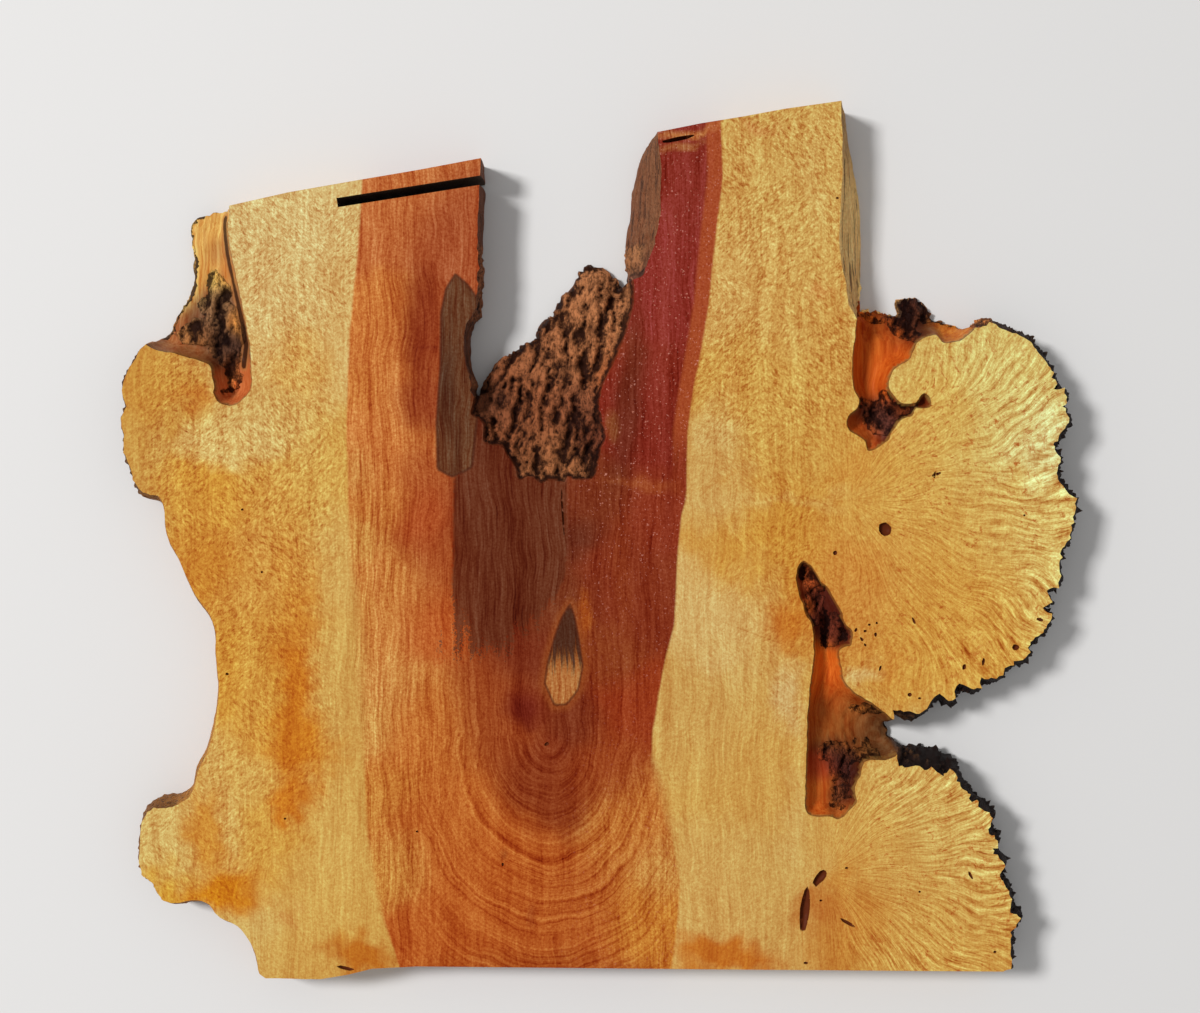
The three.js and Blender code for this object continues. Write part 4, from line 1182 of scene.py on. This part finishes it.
def planed_material():
    """Oiled face: sapwood, heartwood, stains, knot, rings and burl figure, and the folds."""
    material, tree, surface_node, place = new_material("planed_maple")
    grain = use(tree, maple_grain, {"Place": place})
    fine = calc(tree, "SUBTRACT", grain["Fine"], 0.5)
    broad = calc(tree, "SUBTRACT", grain["Broad"], 0.5)
    speckle = calc(tree, "SUBTRACT", grain["Speckle"], 0.5)
    stroke = calc(tree, "SUBTRACT", grain["Stroke"], 0.5)
    ragged = calc(tree, "ADD", calc(tree, "MULTIPLY", fine, 5.0), calc(tree, "MULTIPLY", broad, 9.0))

    def edge_of(name, soft, rough):
        """1 inside a patch and 0 outside it, with a line roughened by the grain."""
        reach = calc(tree, "ADD", attribute(tree, name), calc(tree, "MULTIPLY", ragged, rough))
        return ramp(tree, reach, -soft, soft)

    def rim_of(name, width):
        """A dark thread along the line where a patch stops."""
        off = calc(tree, "ABSOLUTE", calc(tree, "MULTIPLY_ADD", ragged, 0.25, attribute(tree, name)))
        return calc(tree, "MULTIPLY", ramp(tree, off, width, 0.2), 0.7)

    # Sapwood with the two burls' figure.
    burl_at = attribute(tree, "burl")
    high_burl = use(tree, burl_figure, {"Place": place, "Middle X": 215.0, "Middle Y": 33.0})
    low_burl = use(tree, burl_figure, {"Place": place, "Middle X": 195.0, "Middle Y": -290.0})
    parts = wire(tree, "ShaderNodeSeparateXYZ", {0: place}).outputs
    is_low = ramp(tree, parts[1], -160.0, -175.0)

    def either(name):
        """The upper burl's figure above, and the lower one's below."""
        return wire(tree, "ShaderNodeMix", {0: is_low, 2: high_burl[name], 3: low_burl[name]},
                    {"data_type": "FLOAT"}).outputs[0]

    rim_near = attribute(tree, "rim_near")
    patches = ramp(tree, grain["Broad"], 0.4, 0.6, 0.45, 1.0)
    fleck = calc(tree, "MULTIPLY", ramp(tree, either("Fleck"), 0.52, 0.62),
                 calc(tree, "MULTIPLY", burl_at, patches))
    ray = calc(tree, "SUBTRACT", either("Ray"), 0.5)
    ray = calc(tree, "MULTIPLY", ray, calc(
        tree, "MULTIPLY", burl_at, calc(tree, "MULTIPLY_ADD", rim_near, 1.6, 1.1)))
    sap = attribute(tree, "sap_tone", "Color")
    sap = shade(tree, sap, calc(tree, "MULTIPLY_ADD", burl_at, 0.16, 1.0))
    sap = mix(tree, calc(tree, "MULTIPLY", fleck, 0.9), sap, (*srgb(182, 98, 34), 1))
    plain = calc(tree, "SUBTRACT", 1.0, calc(tree, "MULTIPLY", burl_at, 0.6))
    value = calc(tree, "MULTIPLY_ADD", calc(tree, "MULTIPLY", fine, plain), 0.9, 0.945)
    value = calc(tree, "MULTIPLY_ADD", calc(tree, "MULTIPLY", broad, plain), 0.7, value)
    dapple = calc(tree, "MULTIPLY", attribute(tree, "dappled"), plain)
    value = calc(tree, "MULTIPLY_ADD", calc(tree, "MULTIPLY", stroke, dapple), 2.5, value)
    value = calc(tree, "MULTIPLY_ADD", ray, 1.7, value)
    value = calc(tree, "MULTIPLY_ADD", calc(tree, "MULTIPLY", burl_at, rim_near), 0.1, value)
    value = calc(tree, "MULTIPLY_ADD", grain["Scratch"], -0.16, value)
    sap = shade(tree, sap, value)

    # Heartwood with growth rings, stain, weathered lens and leaf-shaped knot.
    heart = attribute(tree, "heart_tone", "Color")
    ring = use(tree, growth_rings, {"Place": place})["Ring"]
    ring_share = attribute(tree, "rings")
    value = calc(tree, "MULTIPLY_ADD", calc(
        tree, "MULTIPLY", fine, calc(tree, "MULTIPLY_ADD", ring_share, -0.6, 1.0)), 2.2, 0.85)
    value = calc(tree, "MULTIPLY_ADD", broad, 1.0, value)
    value = calc(tree, "MULTIPLY_ADD", stroke, 0.9, value)
    value = calc(tree, "MULTIPLY_ADD", calc(tree, "MULTIPLY", calc(tree, "SUBTRACT", ring, 0.5),
                                            ring_share), 3.1, value)
    heart = shade(tree, heart, value)
    right_side = ramp(tree, parts[0], 0.0, 20.0)
    upper_part = ramp(tree, parts[1], 40.0, 110.0)
    inner = attribute(tree, "heartwood")
    strip = calc(tree, "MULTIPLY", ramp(tree, inner, 15.0, 11.0), calc(
        tree, "MULTIPLY", right_side, upper_part))
    heart = mix(tree, calc(tree, "MULTIPLY", strip, 0.75), heart, (*srgb(168, 78, 38), 1))
    # Painted highlights: pale pinkish dots laid into the heartwood's colour stand in for small
    # sparkles of reflected light.
    painted_glints = calc(tree, "MULTIPLY", grain["PaintedGlint"], calc(
        tree, "MULTIPLY", ramp(tree, parts[0], -60.0, 10.0), ramp(tree, parts[1], -160.0, 60.0, 0.3)))
    heart = mix(tree, calc(tree, "MULTIPLY", painted_glints, 0.5), heart, (*srgb(222, 150, 130), 1))
    stained = shade(tree, (*srgb(95, 41, 20),), calc(
        tree, "MULTIPLY_ADD", fine, 4.0, calc(tree, "MULTIPLY_ADD", broad, 2.4, 1.0)))
    thin = ramp(tree, parts[1], -35.0, -95.0)
    soaked = calc(tree, "MULTIPLY_ADD", calc(tree, "ADD", speckle, calc(
        tree, "MULTIPLY", broad, 1.4)), calc(tree, "MULTIPLY_ADD", thin, 70.0, 6.0),
        attribute(tree, "stain"))
    soaked = calc(tree, "MULTIPLY_ADD", thin, -11.0, soaked)
    soaked = ramp(tree, soaked, -1.5, 2.0)
    heart = mix(tree, calc(tree, "MULTIPLY", soaked, 0.92), heart, stained)
    lens = shade(tree, mix(tree, calc(tree, "MULTIPLY_ADD", broad, 2.0, 0.5),
                           (*srgb(72, 38, 22), 1), (*srgb(112, 66, 38), 1)),
                 calc(tree, "MULTIPLY_ADD", fine, 4.0, 1.0))
    heart = mix(tree, edge_of("weathered", 0.9, 0.3), heart, lens)
    heart = mix(tree, rim_of("weathered", 2.0), heart, (*srgb(72, 34, 20), 1))
    knot_level = calc(tree, "MULTIPLY_ADD", fine, 90.0, parts[1])
    knot_level = ramp(tree, knot_level, -118.0, -96.0)
    knot = mix(tree, knot_level, (*srgb(178, 114, 60), 1), (*srgb(76, 40, 24), 1))
    knot = shade(tree, knot, calc(tree, "MULTIPLY_ADD", fine, 2.6, 1.0))
    halo = calc(tree, "MULTIPLY", ramp(tree, attribute(tree, "leaf_knot"), -9.0, 0.0), 0.5)
    heart = mix(tree, halo, heart, (*srgb(160, 84, 36), 1))
    heart = mix(tree, edge_of("leaf_knot", 0.8, 0.25), heart, knot)
    heart = mix(tree, rim_of("leaf_knot", 1.8), heart, (*srgb(80, 34, 18), 1))

    soft = attribute(tree, "softness")
    reach = calc(tree, "MULTIPLY_ADD", ragged, calc(tree, "MULTIPLY_ADD", soft, 0.12, 0.3), inner)
    in_heart = ramp(tree, reach, calc(tree, "MULTIPLY", soft, -1.0), soft)
    wood = mix(tree, in_heart, sap, heart)
    grit = calc(tree, "MULTIPLY_ADD", in_heart, 0.9, 1.1)
    wood = shade(tree, wood, calc(tree, "MULTIPLY_ADD", speckle, grit, 1.0))

    # Folds and pits: amber wood into bark.
    fold_wood = shade(tree, attribute(tree, "fold_tone", "Color"),
                      calc(tree, "MULTIPLY_ADD", fine, 2.0, calc(
                          tree, "MULTIPLY_ADD", broad, 1.6, 1.0)))
    bark = use(tree, bark_look_and_shade, {"Place": place, "Relief": attribute(tree, "relief"),
                                 "Tone": attribute(tree, "fold_tone", "Color")})
    bark_at = attribute(tree, "bark")
    torn = noise_at(tree, place, 0.11, detail=4.0, roughness=0.7, seed=41.0)
    patchy = calc(tree, "MULTIPLY_ADD", calc(tree, "SUBTRACT", torn, 0.5), 2.2, bark_at)
    patchy = calc(tree, "MULTIPLY", ramp(tree, patchy, 0.28, 0.5), ramp(tree, bark_at, 0.0, 0.2))
    fold_colour = mix(tree, patchy, fold_wood, bark["Colour"])
    fold_at = attribute(tree, "fold")
    colour = mix(tree, fold_at, wood, fold_colour)
    crack = calc(tree, "MULTIPLY_ADD", broad, 5.0, attribute(tree, "crack"))
    colour = mix(tree, calc(tree, "MULTIPLY", ramp(tree, crack, 5.6, 3.6), 0.6), colour,
                 (*srgb(170, 108, 58), 1))
    colour = mix(tree, calc(tree, "MULTIPLY", ramp(tree, crack, 3.2, 1.6), 0.9), colour,
                 (*srgb(40, 16, 9), 1))
    sunk = ramp(tree, parts[2], 44.35, 43.2)
    pit = calc(tree, "MULTIPLY", sunk, calc(tree, "SUBTRACT", 1.0, fold_at))
    colour = mix(tree, pit, colour, (*srgb(92, 40, 18), 1))
    height = calc(tree, "ADD", calc(tree, "MULTIPLY", fine, 0.25), calc(
        tree, "MULTIPLY", bark["Height"], calc(tree, "MULTIPLY", fold_at, patchy)))
    roughness = calc(tree, "MULTIPLY_ADD", grain["Speckle"], 0.3, 0.3)
    surface_node.inputs["Specular IOR Level"].default_value = 0.04
    finish_with(tree, surface_node, colour, roughness, height, 0.0012)
    return material


def live_edge_material():
    """The tree's outside: dark bark between amber pegs, or bare fluted wood; on the burls the dark is
    partly painted shade, and on the right wane the pale is partly painted light.
    """
    material, tree, surface_node, place = new_material("live_edge")
    grain = use(tree, maple_grain, {"Place": place})
    tone = attribute(tree, "wall_tone", "Color")
    relief_at = attribute(tree, "relief")
    bark = use(tree, bark_look_and_shade, {"Place": place, "Relief": relief_at, "Tone": tone})
    fine = calc(tree, "SUBTRACT", grain["Fine"], 0.5)
    speckle = calc(tree, "SUBTRACT", grain["Speckle"], 0.5)
    wood = shade(tree, tone, calc(tree, "MULTIPLY_ADD", fine, 1.1, 1.0))
    wood = shade(tree, wood, calc(tree, "MULTIPLY_ADD", speckle, 0.9, 1.0))
    split = noise_at(tree, vector_calc(tree, "MULTIPLY", place, (1.0, 0.05, 1.0)), 0.3,
                     detail=3.0, roughness=0.7, distortion=0.4, seed=15.0)
    wood = mix(tree, calc(tree, "MULTIPLY", ramp(tree, split, 0.46, 0.38), 0.8), wood,
               (*srgb(62, 34, 20), 1))
    bark_at = attribute(tree, "bark")
    colour = mix(tree, ramp(tree, bark_at, 0.15, 0.6), wood, bark["Colour"])
    height = calc(tree, "ADD", calc(tree, "MULTIPLY", fine, 0.5), bark["Height"])
    surface_node.inputs["Specular IOR Level"].default_value = 0.2
    finish_with(tree, surface_node, colour, 0.72, height, 0.0012)
    return material


def sawn_material(name, tone_pale, tone_heart, along):
    """Rough sawn wood, with the marks the saw left across it, and painted shade darkening the walls
    of the saw cut.
    """
    material, tree, surface_node, place = new_material(name)
    grain = use(tree, maple_grain, {"Place": place})
    fine = calc(tree, "SUBTRACT", grain["Fine"], 0.5)
    speckle = calc(tree, "SUBTRACT", grain["Speckle"], 0.5)
    inner = calc(tree, "ADD", attribute(tree, "heartwood"), calc(
        tree, "MULTIPLY", fine, 14.0))
    colour = mix(tree, ramp(tree, inner, -2.0, 2.0), (*srgb(*tone_pale), 1), (*srgb(*tone_heart), 1))
    marks = noise_at(tree, vector_calc(tree, "MULTIPLY", place, along), 1.0, detail=2.0, seed=14.0)
    marks = calc(tree, "SUBTRACT", marks, 0.5)
    value = calc(tree, "MULTIPLY_ADD", marks, 0.35, 1.0)
    value = calc(tree, "MULTIPLY_ADD", fine, 0.45, value)
    value = calc(tree, "MULTIPLY_ADD", speckle, 0.4, value)
    colour = shade(tree, colour, value)
    # Near the saw cut the wood is darkened to a dark grey brown as painted shade, for the shadow
    # inside the cut.
    painted_kerf_shade = shade(tree, (*srgb(74, 54, 40),), calc(tree, "MULTIPLY_ADD", speckle, 4.0, 1.0))
    colour = mix(tree, ramp(tree, attribute(tree, "saw_cut"), 6.5, 4.8), colour, painted_kerf_shade)
    surface_node.inputs["Specular IOR Level"].default_value = 0.2
    finish_with(tree, surface_node, colour, 0.7, marks, 0.0006)
    return material


for material in (
        planed_material(), live_edge_material(),
        sawn_material("sawn_end", (206, 160, 96), (150, 78, 44), (0.25, 0.25, 1.1)),
        sawn_material("sawn_back", (204, 166, 108), (150, 84, 50), (0.02, 0.55, 1.0))):
    skin.materials.append(material)

slab = bpy.data.objects.new("maple_burl_slab_skin", skin)
bpy.context.scene.collection.objects.link(slab)
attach(slab, "root")
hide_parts("maple_burl_slab")
for work in (cad, walls):
    work.free()

# ---- Floor and light ----
# A plain pale floor that the slab lies on, one large soft lamp from the left, and an even sky.
floor_mesh = bpy.data.meshes.new("floor")
FLOOR = 4.0
floor_mesh.from_pydata([(-FLOOR, -FLOOR, 0), (FLOOR, -FLOOR, 0), (FLOOR, FLOOR, 0),
                        (-FLOOR, FLOOR, 0)], [], [(0, 1, 2, 3)])
floor = bpy.data.objects.new("floor", floor_mesh)
floor_material = bpy.data.materials.new("pale_floor")
floor_material.use_nodes = True
floor_surface = floor_material.node_tree.nodes["Principled BSDF"]
floor_surface.inputs["Base Color"].default_value = (0.74, 0.73, 0.72, 1)
floor_surface.inputs["Roughness"].default_value = 0.8
floor_mesh.materials.append(floor_material)
bpy.context.scene.collection.objects.link(floor)

lamp = bpy.data.objects.new("lamp", bpy.data.lights.new("lamp", "AREA"))
lamp.data.energy = 870
lamp.data.size = 2.0
lamp.location = (-6.4, 2.4, 7.6)
lamp.rotation_euler = (Vector((0, 0, 0)) - lamp.location).to_track_quat("-Z", "Y").to_euler()
bpy.context.scene.collection.objects.link(lamp)
world = bpy.data.worlds.new("even_sky")
world.use_nodes = True
world.node_tree.nodes["Background"].inputs["Color"].default_value = (1, 1, 1, 1)
world.node_tree.nodes["Background"].inputs["Strength"].default_value = 0.4
bpy.context.scene.world = world
bpy.context.scene.view_settings.view_transform = "Standard"
